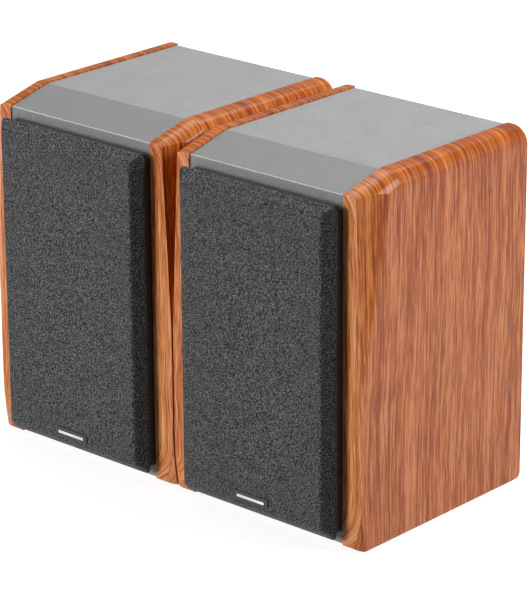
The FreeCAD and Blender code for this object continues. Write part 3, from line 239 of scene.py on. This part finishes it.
# ---------------------------------------------------------------- materials
def cherry_veneer():
    """Lacquered cherry: the grain runs up the sides, over the rounded top, and bends at the front edge's ends.
    The rounded top and the forward facets get a darker, redder painted reflection.
    """
    n = Nodes("cherry_veneer")
    normal = n.parts(n.add("ShaderNodeTexCoord").outputs["Normal"])
    front = n.remap(n.math("ABSOLUTE", normal[1]), 0.80, 0.97, smooth=True)
    # masks for the painted reflection: the rounded top and the facets turned a little forward
    rounded = n.remap(n.math("ABSOLUTE", normal[0]), 0.80, 1.0, 1.0, 0.0, smooth=True)
    facet = n.remap(n.math("MULTIPLY", normal[1], -1.0), 0.04, 0.14, 0.0, 0.85)
    edge = n.math("MAXIMUM", rounded, facet)
    x, y, z = n.parts(n.place)[:3]
    # the grain runs along z; across it is y on the sides and x on the front edge
    wander = n.noise(n.vector("MULTIPLY", n.place, (9.0, 9.0, 5.0)), 1.0, 2.0, 0.5)
    shift = n.math("MULTIPLY", n.math("SUBTRACT", wander, 0.5), 0.012)
    across_side = n.math("ADD", n.math("ADD", y, n.math("MULTIPLY", x, 0.10)), shift)
    swirl = n.noise(n.vector("MULTIPLY", n.place, (55.0, 20.0, 22.0)), 1.0, 1.5, 0.5, 0.5)
    bend = n.math("MULTIPLY", n.math("SUBTRACT", swirl, 0.5), 0.007)
    # near its top and bottom ends the front edge's grain turns over to one side
    from_middle = n.math("ABSOLUTE", n.math("SUBTRACT", z, CHEEK_MIDDLE_Z))
    end_reach = n.math("MAXIMUM", n.math("SUBTRACT", from_middle, CHEEK_STRAIGHT_HALF), 0.0)
    turned = n.math("MULTIPLY", n.math("MULTIPLY", end_reach, end_reach), 26.0)
    across_front = n.math("ADD", n.math("ADD", x, turned), bend)
    chooser = n.add("ShaderNodeMix")
    n.link(front, chooser.inputs[0])
    n.link(across_side, chooser.inputs[2])
    n.link(across_front, chooser.inputs[3])
    across = chooser.outputs[0]

    def lines(frequency, along, detail, rough, seed):
        spot = n.join(n.math("MULTIPLY", across, frequency), seed, n.math("MULTIPLY", z, along))
        return n.noise(spot, 1.0, detail, rough)

    def weigh(share, value):
        return n.math("MULTIPLY", n.math("SUBTRACT", value, 0.5), share)

    fibre = lines(1250.0, 46.0, 2.0, 0.6, 3.1)
    streak = lines(520.0, 16.0, 2.0, 0.55, 7.7)
    band = lines(105.0, 3.4, 2.0, 0.5, 12.4)
    broad = lines(30.0, 2.2, 1.0, 0.5, 21.9)
    pores = lines(900.0, 70.0, 1.0, 0.5, 33.3)
    fine = n.math("ADD", weigh(1.6, fibre), weigh(1.35, streak))
    wide = n.math("ADD", weigh(0.50, band), weigh(0.45, broad))
    mixed = n.math("ADD", n.math("ADD", fine, wide), 0.5)
    face = n.ramp(mixed, ((0.22, tone(148, 68, 34)), (0.42, tone(178, 92, 48)),
                          (0.58, tone(200, 114, 66)), (0.80, tone(220, 142, 92))))
    # painted reflection: darker, redder colours that stand in for the dark room these faces reflect
    painted_reflection_colour = n.ramp(mixed, ((0.16, tone(132, 50, 6)), (0.42, tone(178, 82, 14)),
                          (0.58, tone(200, 104, 26)), (0.84, tone(228, 144, 60))))
    end = n.ramp(mixed, ((0.15, tone(168, 78, 32)), (0.42, tone(212, 120, 60)),
                         (0.58, tone(228, 140, 80)), (0.88, tone(248, 180, 120))))
    colour = n.mix(edge, face, painted_reflection_colour)
    colour = n.mix(front, colour, end)
    dark = n.remap(pores, 0.60, 0.72, 0.0, 0.45)
    colour = n.mix(dark, colour, tone(116, 50, 20))
    height = n.math("ADD", n.math("MULTIPLY", fibre, 0.6), n.math("MULTIPLY", pores, -0.4))
    rough = n.remap(fibre, 0.3, 0.7, 0.36, 0.48)
    return n.finish(colour, rough, n.bump(height, 0.10, 0.05 * MM), IOR=1.5, Specular_IOR_Level=0.12,
                    Coat_Weight=0.30, Coat_Roughness=0.15, Coat_IOR=1.45)


def grey_vinyl():
    """Light grey leathercloth; the slope and the front are smoother and darker, with a painted highlight along
    the edge between them, painted shade in the grain and painted shade and highlight along the creases.
    """
    n = Nodes("grey_vinyl")
    normal = n.parts(n.add("ShaderNodeTexCoord").outputs["Normal"])
    forward = n.math("MULTIPLY", normal[1], -1.0)
    slope = n.remap(forward, 0.10, 0.20, smooth=True)
    front = n.remap(forward, 0.86, 0.98, smooth=True)
    # painted highlight along the edge between the slope and the front
    painted_edge_highlight = n.math("MULTIPLY", n.remap(forward, 0.30, 0.42, smooth=True), n.math("SUBTRACT", 1.0, front))
    warp = n.noise(n.place, 120.0, 2.0, 0.5)
    offset = n.join(n.math("MULTIPLY", warp, 0.004), n.math("MULTIPLY", warp, -0.003), warp)
    bent = n.vector("ADD", n.place, offset)
    wrinkle = n.cells(n.vector("MULTIPLY", bent, (640.0, 980.0, 0.0)), 1.0, "DISTANCE_TO_EDGE")
    grain = n.cells(n.place, 560.0, "DISTANCE_TO_EDGE")
    fine = n.noise(n.place, 2400.0, 2.0, 0.6)
    blotch = n.noise(n.place, 55.0, 3.0, 0.6)
    leather = n.math("ADD", n.math("MULTIPLY", wrinkle, 0.5), n.math("MULTIPLY", grain, 0.8))
    plain = n.math("SUBTRACT", 1.0, n.math("MULTIPLY", slope, 0.6))
    height = n.math("ADD", n.math("MULTIPLY", leather, plain), n.math("MULTIPLY", fine, 0.25))
    colour = n.mix(n.remap(blotch, 0.3, 0.7), tone(160, 161, 160), tone(174, 175, 174))
    satin = n.mix(n.remap(blotch, 0.3, 0.7), tone(122, 123, 122), tone(133, 134, 133))
    colour = n.mix(slope, colour, satin)
    flat = n.mix(n.remap(fine, 0.3, 0.7), tone(102, 103, 102), tone(124, 125, 124))
    colour = n.mix(front, colour, flat)
    # painted shade in the valleys of the leather grain, less on the smoother slope
    painted_grain_shade = n.math("MULTIPLY", n.remap(grain, 0.0, 0.16, 0.40, 0.0), plain)
    colour = n.mix(painted_grain_shade, colour, tone(112, 113, 112))
    # painted shade and painted highlight on the two sides of each crease; the creases have no bump
    painted_crease_shading = n.noise(n.vector("MULTIPLY", bent, (520.0, 1500.0, 900.0)), 1.0, 2.0, 0.6)
    colour = n.mix(n.remap(painted_crease_shading, 0.50, 0.60, 0.0, 0.55), colour, tone(120, 121, 120))
    colour = n.mix(n.remap(painted_crease_shading, 0.40, 0.50, 0.50, 0.0), colour, tone(206, 207, 206))
    # the painted edge highlight
    colour = n.mix(painted_edge_highlight, colour, tone(246, 246, 245))
    rough = n.remap(n.math("ADD", fine, n.math("MULTIPLY", blotch, 0.5)), 0.4, 1.1, 0.42, 0.62)
    return n.finish(colour, rough, n.bump(height, 0.8, 0.16 * MM))


def grained_plastic(name, dark, light, rough_low, rough_high, grain=1700.0, strength=0.25, **constants):
    """Moulded plastic with a spark-eroded grain, faint flow marks and a painted highlight along its edges."""
    n = Nodes(name)
    speck = n.noise(n.place, grain, 3.0, 0.6)
    flow = n.noise(n.vector("MULTIPLY", n.place, (40.0, 40.0, 90.0)), 1.0, 2.0, 0.5, 0.6)
    colour = n.mix(n.remap(flow, 0.3, 0.7), dark, light)
    colour = n.mix(n.remap(speck, 0.55, 0.75, 0.0, 0.35), colour, light)
    # painted highlight along convex edges
    edge_glint_colour = tuple(min(1.0, c * 1.8 + 0.02) for c in light)
    colour = n.mix(n.math("MULTIPLY", n.painted_edge_glint(0.35 * MM), 0.55), colour, edge_glint_colour)
    rough = n.remap(n.math("ADD", speck, n.math("MULTIPLY", flow, 0.4)), 0.4, 1.0, rough_low, rough_high)
    return n.finish(colour, rough, n.bump(speck, strength, 0.05 * MM), **constants)


def baffle_board():
    """Painted fibreboard with roller stipple: the front baffle pale, set lighter still as painted light in the
    shade beside the grille; the rear panel a mid grey.
    """
    n = Nodes("baffle_board")
    rear = n.remap(n.parts(n.place)[1], -0.02, 0.02)
    stipple = n.noise(n.place, 900.0, 4.0, 0.65)
    cloud = n.noise(n.place, 22.0, 3.0, 0.5)
    # the front's pale tone is partly the board's own and partly painted light, raised to lift the shade the
    # grille casts on it
    colour = n.mix(n.remap(cloud, 0.3, 0.7), tone(204, 205, 202), tone(216, 217, 213))
    colour = n.mix(n.remap(stipple, 0.55, 0.8, 0.0, 0.4), colour, tone(226, 227, 223))
    rear_colour = n.mix(n.remap(cloud, 0.3, 0.7), tone(118, 119, 118), tone(132, 133, 132))
    rear_colour = n.mix(n.remap(stipple, 0.55, 0.8, 0.0, 0.5), rear_colour, tone(152, 153, 152))
    colour = n.mix(rear, colour, rear_colour)
    rough = n.remap(stipple, 0.3, 0.7, 0.45, 0.65)
    return n.finish(colour, rough, n.bump(stipple, 0.3, 0.06 * MM))


def charcoal_cloth():
    """Heather speaker cloth: a fine weave of dark and light grey yarns, with painted shade on the bevels down the
    sides of the frame.
    """
    n = Nodes("charcoal_cloth")
    x, y, z = n.parts(n.place)[:3]
    normal = n.parts(n.add("ShaderNodeTexCoord").outputs["Normal"])
    # painted shade: the side bevels are darkened as if little light reached them
    painted_side_shade = n.remap(n.math("ABSOLUTE", normal[0]), 0.12, 0.60, 0.0, 0.55, smooth=True)
    pitch = math.pi / (0.72 * MM)
    wobble = n.math("MULTIPLY", n.noise(n.place, 400.0, 1.0, 0.5), 1.0)
    # y joins x and z so that the threads run on round the bevel
    u = n.math("ADD", n.math("MULTIPLY", n.math("ADD", x, n.math("MULTIPLY", y, 0.7)), pitch), wobble)
    v = n.math("ADD", n.math("MULTIPLY", n.math("ADD", z, n.math("MULTIPLY", y, 0.7)), pitch), wobble)
    weave = n.math("MULTIPLY", n.math("SINE", u), n.math("SINE", v))
    yarn = n.noise(n.vector("MULTIPLY", n.place, (1850.0, 1300.0, 1850.0)), 1.0, 1.0, 0.5)
    slub = n.noise(n.vector("MULTIPLY", n.place, (850.0, 600.0, 2500.0)), 1.0, 1.0, 0.5)
    cross = n.noise(n.vector("MULTIPLY", n.place, (2500.0, 600.0, 850.0)), 1.0, 1.0, 0.5)
    mixed = n.math("ADD", n.math("MULTIPLY", n.math("SUBTRACT", yarn, 0.5), 2.4),
                   n.math("MULTIPLY", n.math("SUBTRACT", n.math("MAXIMUM", slub, cross), 0.55), 0.8))
    mixed = n.math("ADD", n.math("ADD", mixed, n.math("MULTIPLY", weave, 0.13)), 0.5)
    colour = n.ramp(mixed, ((0.20, tone(2, 3, 3)), (0.42, tone(32, 33, 34)),
                            (0.60, tone(66, 67, 68)), (0.84, tone(150, 151, 152))))
    # the painted shade on the side bevels
    colour = n.mix(painted_side_shade, colour, tone(9, 10, 11))
    height = n.math("ADD", n.math("MULTIPLY", weave, 0.6), n.math("MULTIPLY", yarn, 0.9))
    return n.finish(colour, 0.92, n.bump(height, 0.6, 0.20 * MM), Sheen_Weight=0.10, Sheen_Roughness=0.5,
                    Specular_IOR_Level=0.25)


def brushed_metal(name, dark, light, direction, rough_low, rough_high):
    """Metal drawn along one way, with scratches and a painted highlight along its edges."""
    n = Nodes(name)
    drawn = n.vector("MULTIPLY", n.place, direction)
    lines = n.noise(drawn, 1.0, 3.0, 0.6)
    smudge = n.noise(n.place, 60.0, 2.0, 0.5)
    colour = n.mix(n.remap(lines, 0.3, 0.7), dark, light)
    # painted highlight along convex edges
    edge_shine_colour = tuple(min(1.0, c * 1.3) for c in light)
    colour = n.mix(n.math("MULTIPLY", n.painted_edge_glint(0.3 * MM), 0.7), colour, edge_shine_colour)
    rough = n.remap(n.math("ADD", n.math("MULTIPLY", lines, 0.6), n.math("MULTIPLY", smudge, 0.4)),
                    0.3, 0.7, rough_low, rough_high)
    return n.finish(colour, rough, n.bump(lines, 0.18, 0.03 * MM), Metallic=1.0)


def foot_rubber():
    """Dusty black rubber with a crumb in it."""
    n = Nodes("foot_rubber")
    crumb = n.noise(n.place, 2200.0, 4.0, 0.7)
    dust = n.noise(n.place, 140.0, 3.0, 0.6)
    colour = n.mix(n.remap(dust, 0.4, 0.7), tone(22, 22, 23), tone(40, 40, 40))
    colour = n.mix(n.remap(crumb, 0.6, 0.8, 0.0, 0.5), colour, tone(64, 63, 61))
    return n.finish(colour, n.remap(crumb, 0.3, 0.7, 0.75, 0.95), n.bump(crumb, 0.4, 0.06 * MM))


def magnet():
    """Grey sintered ferrite between plated steel plates."""
    n = Nodes("magnet")
    pit = n.cells(n.place, 1500.0)
    cloud = n.noise(n.place, 90.0, 3.0, 0.6)
    colour = n.mix(n.remap(cloud, 0.3, 0.7), tone(58, 59, 62), tone(86, 87, 90))
    colour = n.mix(n.remap(pit, 0.0, 0.25, 0.4, 0.0), colour, tone(34, 34, 36))
    return n.finish(colour, n.remap(cloud, 0.3, 0.7, 0.35, 0.6), n.bump(pit, 0.3, 0.05 * MM), Metallic=0.6)


def cone_paper():
    """Pressed black pulp with scattered fibres."""
    n = Nodes("cone_paper")
    fibre_a = n.noise(n.vector("MULTIPLY", n.place, (260.0, 900.0, 2400.0)), 1.0, 2.0, 0.5, 0.8)
    fibre_b = n.noise(n.vector("MULTIPLY", n.place, (2400.0, 900.0, 260.0)), 1.0, 2.0, 0.5, 0.8)
    fibre = n.math("MAXIMUM", fibre_a, fibre_b)
    cloud = n.noise(n.place, 75.0, 3.0, 0.6)
    colour = n.mix(n.remap(cloud, 0.3, 0.7), tone(36, 35, 34), tone(54, 52, 50))
    colour = n.mix(n.remap(fibre, 0.64, 0.78, 0.0, 0.6), colour, tone(112, 108, 102))
    return n.finish(colour, n.remap(fibre, 0.4, 0.8, 0.7, 0.9), n.bump(fibre, 0.5, 0.08 * MM))


def surround_rubber():
    """Smooth butyl rubber with a faint bloom."""
    n = Nodes("surround_rubber")
    skin = n.noise(n.place, 1600.0, 3.0, 0.6)
    bloom = n.noise(n.place, 110.0, 3.0, 0.6)
    colour = n.mix(n.remap(bloom, 0.35, 0.7), tone(20, 20, 21), tone(38, 38, 40))
    return n.finish(colour, n.remap(n.math("ADD", skin, bloom), 0.7, 1.3, 0.36, 0.62),
                    n.bump(skin, 0.16, 0.05 * MM), Specular_IOR_Level=0.5)


def spider_cloth():
    """Yellow resin-dipped weave of the spider."""
    n = Nodes("spider_cloth")
    x, _, z = n.parts(n.place)[:3]
    pitch = math.pi / (0.35 * MM)
    weave = n.math("MULTIPLY", n.math("SINE", n.math("MULTIPLY", x, pitch)),
                   n.math("SINE", n.math("MULTIPLY", z, pitch)))
    stain = n.noise(n.place, 130.0, 3.0, 0.6)
    colour = n.mix(n.remap(stain, 0.3, 0.7), tone(178, 134, 62), tone(206, 166, 92))
    colour = n.mix(n.remap(weave, -0.6, 0.0, 0.5, 0.0), colour, tone(118, 82, 34))
    return n.finish(colour, n.remap(stain, 0.3, 0.7, 0.5, 0.8), n.bump(weave, 0.5, 0.1 * MM))


def coil_former():
    """Copper turns wound on a brown paper tube."""
    n = Nodes("coil_former")
    y = n.parts(n.place)[1]
    turn = n.math("ABSOLUTE", n.math("SINE", n.math("MULTIPLY", y, math.pi / (0.3 * MM))))
    tint = n.noise(n.place, 200.0, 3.0, 0.6)
    colour = n.mix(n.remap(tint, 0.3, 0.7), tone(172, 92, 48), tone(206, 124, 72))
    colour = n.mix(n.remap(turn, 0.0, 0.35, 0.7, 0.0), colour, tone(82, 36, 16))
    return n.finish(colour, n.remap(tint, 0.3, 0.7, 0.25, 0.42), n.bump(turn, 0.6, 0.1 * MM), Metallic=0.8)


def dome_silk():
    """Doped silk dome with a fine crossing weave."""
    n = Nodes("dome_silk")
    x, _, z = n.parts(n.place)[:3]
    pitch = math.pi / (0.24 * MM)
    weave = n.math("MULTIPLY", n.math("SINE", n.math("MULTIPLY", n.math("ADD", x, z), pitch)),
                   n.math("SINE", n.math("MULTIPLY", n.math("SUBTRACT", x, z), pitch)))
    dope = n.noise(n.place, 260.0, 3.0, 0.6)
    colour = n.mix(n.remap(dope, 0.3, 0.7), tone(26, 25, 27), tone(46, 44, 48))
    colour = n.mix(n.remap(weave, 0.2, 0.9, 0.0, 0.35), colour, tone(78, 76, 80))
    return n.finish(colour, n.remap(dope, 0.3, 0.7, 0.35, 0.6), n.bump(weave, 0.3, 0.05 * MM),
                    Sheen_Weight=0.3)


def board_green():
    """Circuit board: green mask over a net of traces."""
    n = Nodes("board_green")
    grid = n.cells(n.vector("MULTIPLY", n.place, (300.0, 0.0, 300.0)), 1.0, "DISTANCE_TO_EDGE", random=0.35)
    trace = n.remap(grid, 0.03, 0.06, 0.6, 0.0)
    weave = n.noise(n.place, 1400.0, 2.0, 0.5)
    colour = n.mix(n.remap(weave, 0.3, 0.7), tone(14, 62, 34), tone(20, 80, 44))
    colour = n.mix(trace, colour, tone(46, 122, 66))
    return n.finish(colour, n.remap(weave, 0.3, 0.7, 0.25, 0.45), n.bump(grid, 0.2, 0.04 * MM))


def transformer_core():
    """Steel laminations with an amber varnish."""
    n = Nodes("transformer_core")
    z = n.parts(n.place)[2]
    sheet = n.math("ABSOLUTE", n.math("SINE", n.math("MULTIPLY", z, math.pi / (0.5 * MM))))
    varnish = n.noise(n.place, 150.0, 3.0, 0.6)
    colour = n.mix(n.remap(varnish, 0.3, 0.7), tone(92, 84, 74), tone(132, 122, 104))
    colour = n.mix(n.remap(sheet, 0.0, 0.3, 0.6, 0.0), colour, tone(42, 36, 30))
    return n.finish(colour, n.remap(varnish, 0.3, 0.7, 0.3, 0.55), n.bump(sheet, 0.4, 0.08 * MM), Metallic=0.7)


def make_materials():
    """One material for each slot of the record."""
    return {
        "cherry_veneer": cherry_veneer(),
        "grey_vinyl": grey_vinyl(),
        "baffle_board": baffle_board(),
        "charcoal_cloth": charcoal_cloth(),
        "black_plastic": grained_plastic("black_plastic", tone(22, 22, 23), tone(38, 38, 40), 0.38, 0.62),
        "gloss_black": grained_plastic("gloss_black", tone(12, 12, 13), tone(22, 22, 24), 0.10, 0.24,
                                       500.0, 0.05, Coat_Weight=0.4, Coat_Roughness=0.08),
        "foot_rubber": foot_rubber(),
        "badge_metal": brushed_metal("badge_metal", tone(196, 197, 198), tone(232, 233, 234),
                                     (60.0, 400.0, 3200.0), 0.22, 0.40),
        "basket_steel": grained_plastic("basket_steel", tone(26, 27, 28), tone(44, 45, 47), 0.30, 0.50,
                                        1300.0, 0.3),
        "magnet": magnet(),
        "cone_paper": cone_paper(),
        "surround_rubber": surround_rubber(),
        "spider_cloth": spider_cloth(),
        "coil_former": coil_former(),
        "dome_silk": dome_silk(),
        "screw_steel": brushed_metal("screw_steel", tone(52, 52, 54), tone(92, 92, 96),
                                     (900.0, 900.0, 900.0), 0.28, 0.46),
        "amp_panel": brushed_metal("amp_panel", tone(44, 45, 47), tone(66, 67, 70),
                                   (90.0, 400.0, 3600.0), 0.32, 0.5),
        "red_plastic": grained_plastic("red_plastic", tone(150, 16, 14), tone(184, 30, 24), 0.18, 0.34,
                                       600.0, 0.08),
        "board_green": board_green(),
        "transformer_core": transformer_core(),
    }


# ---------------------------------------------------------------- mesh helpers
def new_piece(name, verts, faces, material, smooth=True):
    mesh = bpy.data.meshes.new(name)
    mesh.from_pydata(verts, [], faces)
    mesh.update()
    piece = bpy.data.objects.new(name, mesh)
    bpy.context.scene.collection.objects.link(piece)
    mesh.materials.append(material)
    for polygon in mesh.polygons:
        polygon.use_smooth = smooth
    return piece


def rounded_loop(x0, x1, z0, z1, corner, y):
    """Points round a rectangle with round corners in the plane y, the same count whatever its size."""
    points = []
    spots = ((x1 - corner, z0 + corner, -90), (x1 - corner, z1 - corner, 0),
             (x0 + corner, z1 - corner, 90), (x0 + corner, z0 + corner, 180))
    arcs = []
    for cx, cz, start in spots:
        turns = [math.radians(start + 90 * i / CLOTH_CORNER_POINTS) for i in range(CLOTH_CORNER_POINTS + 1)]
        arcs.append([(cx + corner * math.cos(a), y, cz + corner * math.sin(a)) for a in turns])
    for i, arc in enumerate(arcs):
        points.extend(arc)
        a, b = Vector(arc[-1]), Vector(arcs[(i + 1) % 4][0])
        points.extend(tuple(a.lerp(b, k / CLOTH_SIDE_POINTS)) for k in range(1, CLOTH_SIDE_POINTS))
    return points


def make_grille_fabric(side, materials):
    """The cloth as one stretched sheet: hem behind, lip, bevel and a front with a little slack."""
    lo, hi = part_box(f"{side}_grille_cloth")
    x0, x1, z0, z1 = lo.x, hi.x, lo.z, hi.z
    front, back = lo.y, hi.y
    rows = []

    def row(inset, y, corner):
        rows.append(rounded_loop(x0 + inset, x1 - inset, z0 + inset, z1 - inset, corner, y))

    t = CLOTH_SKIN
    row(CLOTH_HEM, back - 0.2 * t, 1.5 * MM)
    row(CLOTH_HEM * 0.55, back - 0.1 * t, 2.2 * MM)
    row(0.9 * t, back, CLOTH_CORNER - 0.5 * t)
    row(0.25 * t, back - 0.25 * t, CLOTH_CORNER)
    row(0.0, back - 0.75 * t, CLOTH_CORNER)
    lip = CLOTH_LIP
    row(0.0, back - lip, CLOTH_CORNER)
    row(0.12 * MM, back - lip - 0.35 * MM, CLOTH_CORNER)
    run = CLOTH_BEVEL
    drop = (back - lip) - front
    # straight up the bevel, then a small round into the flat front that stays outside the frame
    slant = math.hypot(run, drop)
    straight = 1 - CLOTH_ROUND / slant
    for i in range(1, 5):
        f = straight * i / 4
        row(run * f, back - lip - drop * f, CLOTH_CORNER + (CLOTH_FRONT_CORNER - CLOTH_CORNER) * f)
    start = Vector((run * straight, back - lip - drop * straight))
    knee = Vector((run, front))
    finish = Vector((run + CLOTH_ROUND, front))
    for i in range(1, 9):
        f = i / 8
        spot = start.lerp(knee, f).lerp(knee.lerp(finish, f), f)
        row(spot.x, spot.y, CLOTH_FRONT_CORNER)
    verts = [p for points in rows for p in points]
    count = len(rows[0])
    faces = []
    for r in range(len(rows) - 1):
        for i in range(count):
            j = (i + 1) % count
            faces.append((r * count + i, r * count + j, (r + 1) * count + j, (r + 1) * count + i))
    # the flat front closes in on itself in shrinking rings
    inner = rows[-1]
    centre = Vector(((x0 + x1) / 2, front, (z0 + z1) / 2))
    half_x = (x1 - x0) / 2 - finish.x
    half_z = (z1 - z0) / 2 - finish.x
    base = (len(rows) - 1) * count
    for k in range(1, CLOTH_RINGS):
        f = 1 - k / CLOTH_RINGS
        start = len(verts)
        for p in inner:
            px = centre.x + (p[0] - centre.x) * f
            pz = centre.z + (p[2] - centre.z) * (f if half_z < half_x else 1 - (1 - f) * half_x / half_z)
            sag = CLOTH_SAG * math.sin(math.pi * min(1.0, k / CLOTH_RINGS * 1.2) / 2)
            verts.append((px, front + sag, pz))
        for i in range(count):
            j = (i + 1) % count
            faces.append((base + i, base + j, start + j, start + i))
        base = start
    faces.append(tuple(base + i for i in range(count)))
    piece = new_piece(f"{side}_grille_fabric", verts, faces, materials["charcoal_cloth"])
    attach(piece, f"{side}_grille")
    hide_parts(f"{side}_grille_cloth")


def make_surround_roll(side, materials):
    """The woofer's half-roll surround in sectors, each one a rubber arch from the cone to the basket."""
    node = f"{side}_woofer_surround"
    lo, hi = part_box(node)
    cx, cz = (lo.x + hi.x) / 2, (lo.z + hi.z) / 2
    radii = [math.hypot(v.co.x - cx, v.co.z - cz) for v in NODES[node].data.vertices]
    inner, outer = min(radii), max(radii)
    back, t = hi.y, ROLL_THICKNESS
    middle = (inner + outer) / 2
    roll = (back - lo.y) - 1.5 * t
    profile = [(inner, back), (inner, back - t)]
    for i in range(ROLL_STEPS + 1):
        angle = math.pi * (1 - i / ROLL_STEPS)
        profile.append((middle + (roll + t / 2) * math.cos(angle), back - t - (roll + t / 2) * math.sin(angle)))
    profile += [(outer, back - t), (outer, back)]
    for i in range(ROLL_STEPS + 1):
        angle = math.pi * i / ROLL_STEPS
        profile.append((middle + (roll - t / 2) * math.cos(angle), back - (roll - t / 2) * math.sin(angle)))
    count = len(profile)
    half = math.pi / ROLL_SECTORS
    for k in range(ROLL_SECTORS):
        heading = 2 * half * k
        verts = []
        for j in range(ROLL_ARC_STEPS + 1):
            angle = heading - half + 2 * half * j / ROLL_ARC_STEPS
            verts += [(cx + r * math.cos(angle), y, cz + r * math.sin(angle)) for r, y in profile]
        faces = []
        for j in range(ROLL_ARC_STEPS):
            for i in range(count):
                a, b = j * count + i, j * count + (i + 1) % count
                faces.append((a, b, b + count, a + count))
        faces.append(tuple(reversed(range(count))))
        faces.append(tuple(ROLL_ARC_STEPS * count + i for i in range(count)))
        piece = new_piece(f"{side}_surround_roll_{k + 1:02d}", verts, faces, materials["surround_rubber"])
        piece.data.set_sharp_from_angle(angle=math.radians(40))
        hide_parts(node)
        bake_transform(piece)


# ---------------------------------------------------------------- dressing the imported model
def soften(node, width):
    """Rounds a node's hard edges a little with modifiers, its own vertices unchanged."""
    o = NODES[node]
    weld = o.modifiers.new("weld", "WELD")
    weld.merge_threshold = 0.00001
    bevel = o.modifiers.new("bevel", "BEVEL")
    bevel.width = width
    bevel.segments = 3
    bevel.limit_method = "ANGLE"
    bevel.angle_limit = math.radians(32)
    bevel.harden_normals = True
    bevel.use_clamp_overlap = True


def dress(materials):
    """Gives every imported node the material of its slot."""
    slots = {}
    for row in frame["record"]["materials"]:
        for node in row.get("nodes", []):
            slots[node] = row["slot"]
    for name, o in NODES.items():
        current = o.data.materials[0].name.split(".")[0] if o.data.materials else None
        slot = slots.get(name, current)
        if slot in materials:
            o.data.materials.clear()
            o.data.materials.append(materials[slot])


def two_tone(node, second, chosen):
    """Gives a node a second material on the faces whose centre chosen() picks."""
    mesh = NODES[node].data
    mesh.materials.append(second)
    for polygon in mesh.polygons:
        if chosen(polygon.center):
            polygon.material_index = 1


CABINET_EDGE = 1.1 * MM
SOCKET_BARREL = 7.0 * MM


# ---------------------------------------------------------------- studio
AMBIENT_DIM = 0.10         # the room's brightness towards the front right
AMBIENT_BRIGHT = 0.42      # and towards the back left
DIM_WAY = (0.62, -0.78, 0.0)
SOFTBOXES = {
    # place, size and power of each lamp; all of them point at the object's middle
    "softbox_back": ((1.75, 0.95, 1.25), (1.1, 1.1), 40.0),
    "softbox_top": ((-0.40, 0.85, 1.65), (1.2, 0.8), 13.0),
    "softbox_front": ((-0.80, -1.90, 0.50), (0.9, 0.7), 27.0),
}
LAMP_AIM = (0.0, 0.0, 0.12)
FLOOR_GLOW = 0.80
FLOOR_HALF = 6.0


def make_room():
    """Even light from all round, dimmer towards the front right."""
    scene = bpy.context.scene
    scene.view_settings.view_transform = "Standard"
    scene.view_settings.look = "None"
    world = bpy.data.worlds.new("studio")
    scene.world = world
    world.use_nodes = True
    tree = world.node_tree
    tree.nodes.clear()
    out = tree.nodes.new("ShaderNodeOutputWorld")
    background = tree.nodes.new("ShaderNodeBackground")
    coord = tree.nodes.new("ShaderNodeTexCoord")
    dot = tree.nodes.new("ShaderNodeVectorMath")
    dot.operation = "DOT_PRODUCT"
    dot.inputs[1].default_value = DIM_WAY
    spread = tree.nodes.new("ShaderNodeMapRange")
    spread.inputs["From Min"].default_value = -1.0
    spread.inputs["From Max"].default_value = 1.0
    spread.inputs["To Min"].default_value = AMBIENT_BRIGHT
    spread.inputs["To Max"].default_value = AMBIENT_DIM
    tree.links.new(coord.outputs["Generated"], dot.inputs[0])
    tree.links.new(dot.outputs["Value"], spread.inputs["Value"])
    tree.links.new(spread.outputs["Result"], background.inputs["Strength"])
    tree.links.new(background.outputs[0], out.inputs["Surface"])
    background.inputs["Color"].default_value = (1, 1, 1, 1)


def make_lamps():
    """Three softboxes."""
    for name, (place, size, power) in SOFTBOXES.items():
        data = bpy.data.lights.new(name, "AREA")
        data.shape = "RECTANGLE"
        data.size, data.size_y = size
        data.energy = power
        lamp = bpy.data.objects.new(name, data)
        bpy.context.scene.collection.objects.link(lamp)
        lamp.location = place
        lamp.rotation_mode = "QUATERNION"
        lamp.rotation_quaternion = (Vector(LAMP_AIM) - Vector(place)).to_track_quat("-Z", "Y")


def make_floor():
    """Plain pale paper that glows a little, so that it reads as white."""
    n = Nodes("floor_paper")
    fibre = n.noise(n.place, 700.0, 3.0, 0.6)
    cloud = n.noise(n.place, 1.3, 2.0, 0.5)
    shade = n.mix(n.remap(cloud, 0.3, 0.7), tone(196, 196, 196), tone(204, 204, 204))
    material = n.finish(shade, 0.9, n.bump(fibre, 0.03, 0.05 * MM), Specular_IOR_Level=0.2)
    n.shader.inputs["Emission Color"].default_value = (1, 1, 1, 1)
    n.shader.inputs["Emission Strength"].default_value = FLOOR_GLOW
    half = FLOOR_HALF
    floor = new_piece("floor", [(-half, -half, 0), (half, -half, 0), (half, half, 0), (-half, half, 0)],
                      [(0, 1, 2, 3)], material, smooth=False)
    # the floor's glow is for the eye: the soft light from below comes from the room alone
    floor.visible_diffuse = False


make_camera()
MATERIALS = make_materials()
dress(MATERIALS)
for SIDE in SIDES:
    make_grille_fabric(SIDE, MATERIALS)
    make_surround_roll(SIDE, MATERIALS)
    soften(f"{SIDE}_cabinet", CABINET_EDGE)
    BADGE_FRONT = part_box(f"{SIDE}_grille_badge")[0].y
    two_tone(f"{SIDE}_grille_badge", MATERIALS["gloss_black"],
             lambda centre: centre.y > BADGE_FRONT + 0.02 * MM)
SOCKET_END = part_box("right_phono_sockets")[1].y
two_tone("right_phono_sockets", MATERIALS["badge_metal"],
         lambda centre: centre.y > SOCKET_END - SOCKET_BARREL)
make_room()
make_lamps()
make_floor()
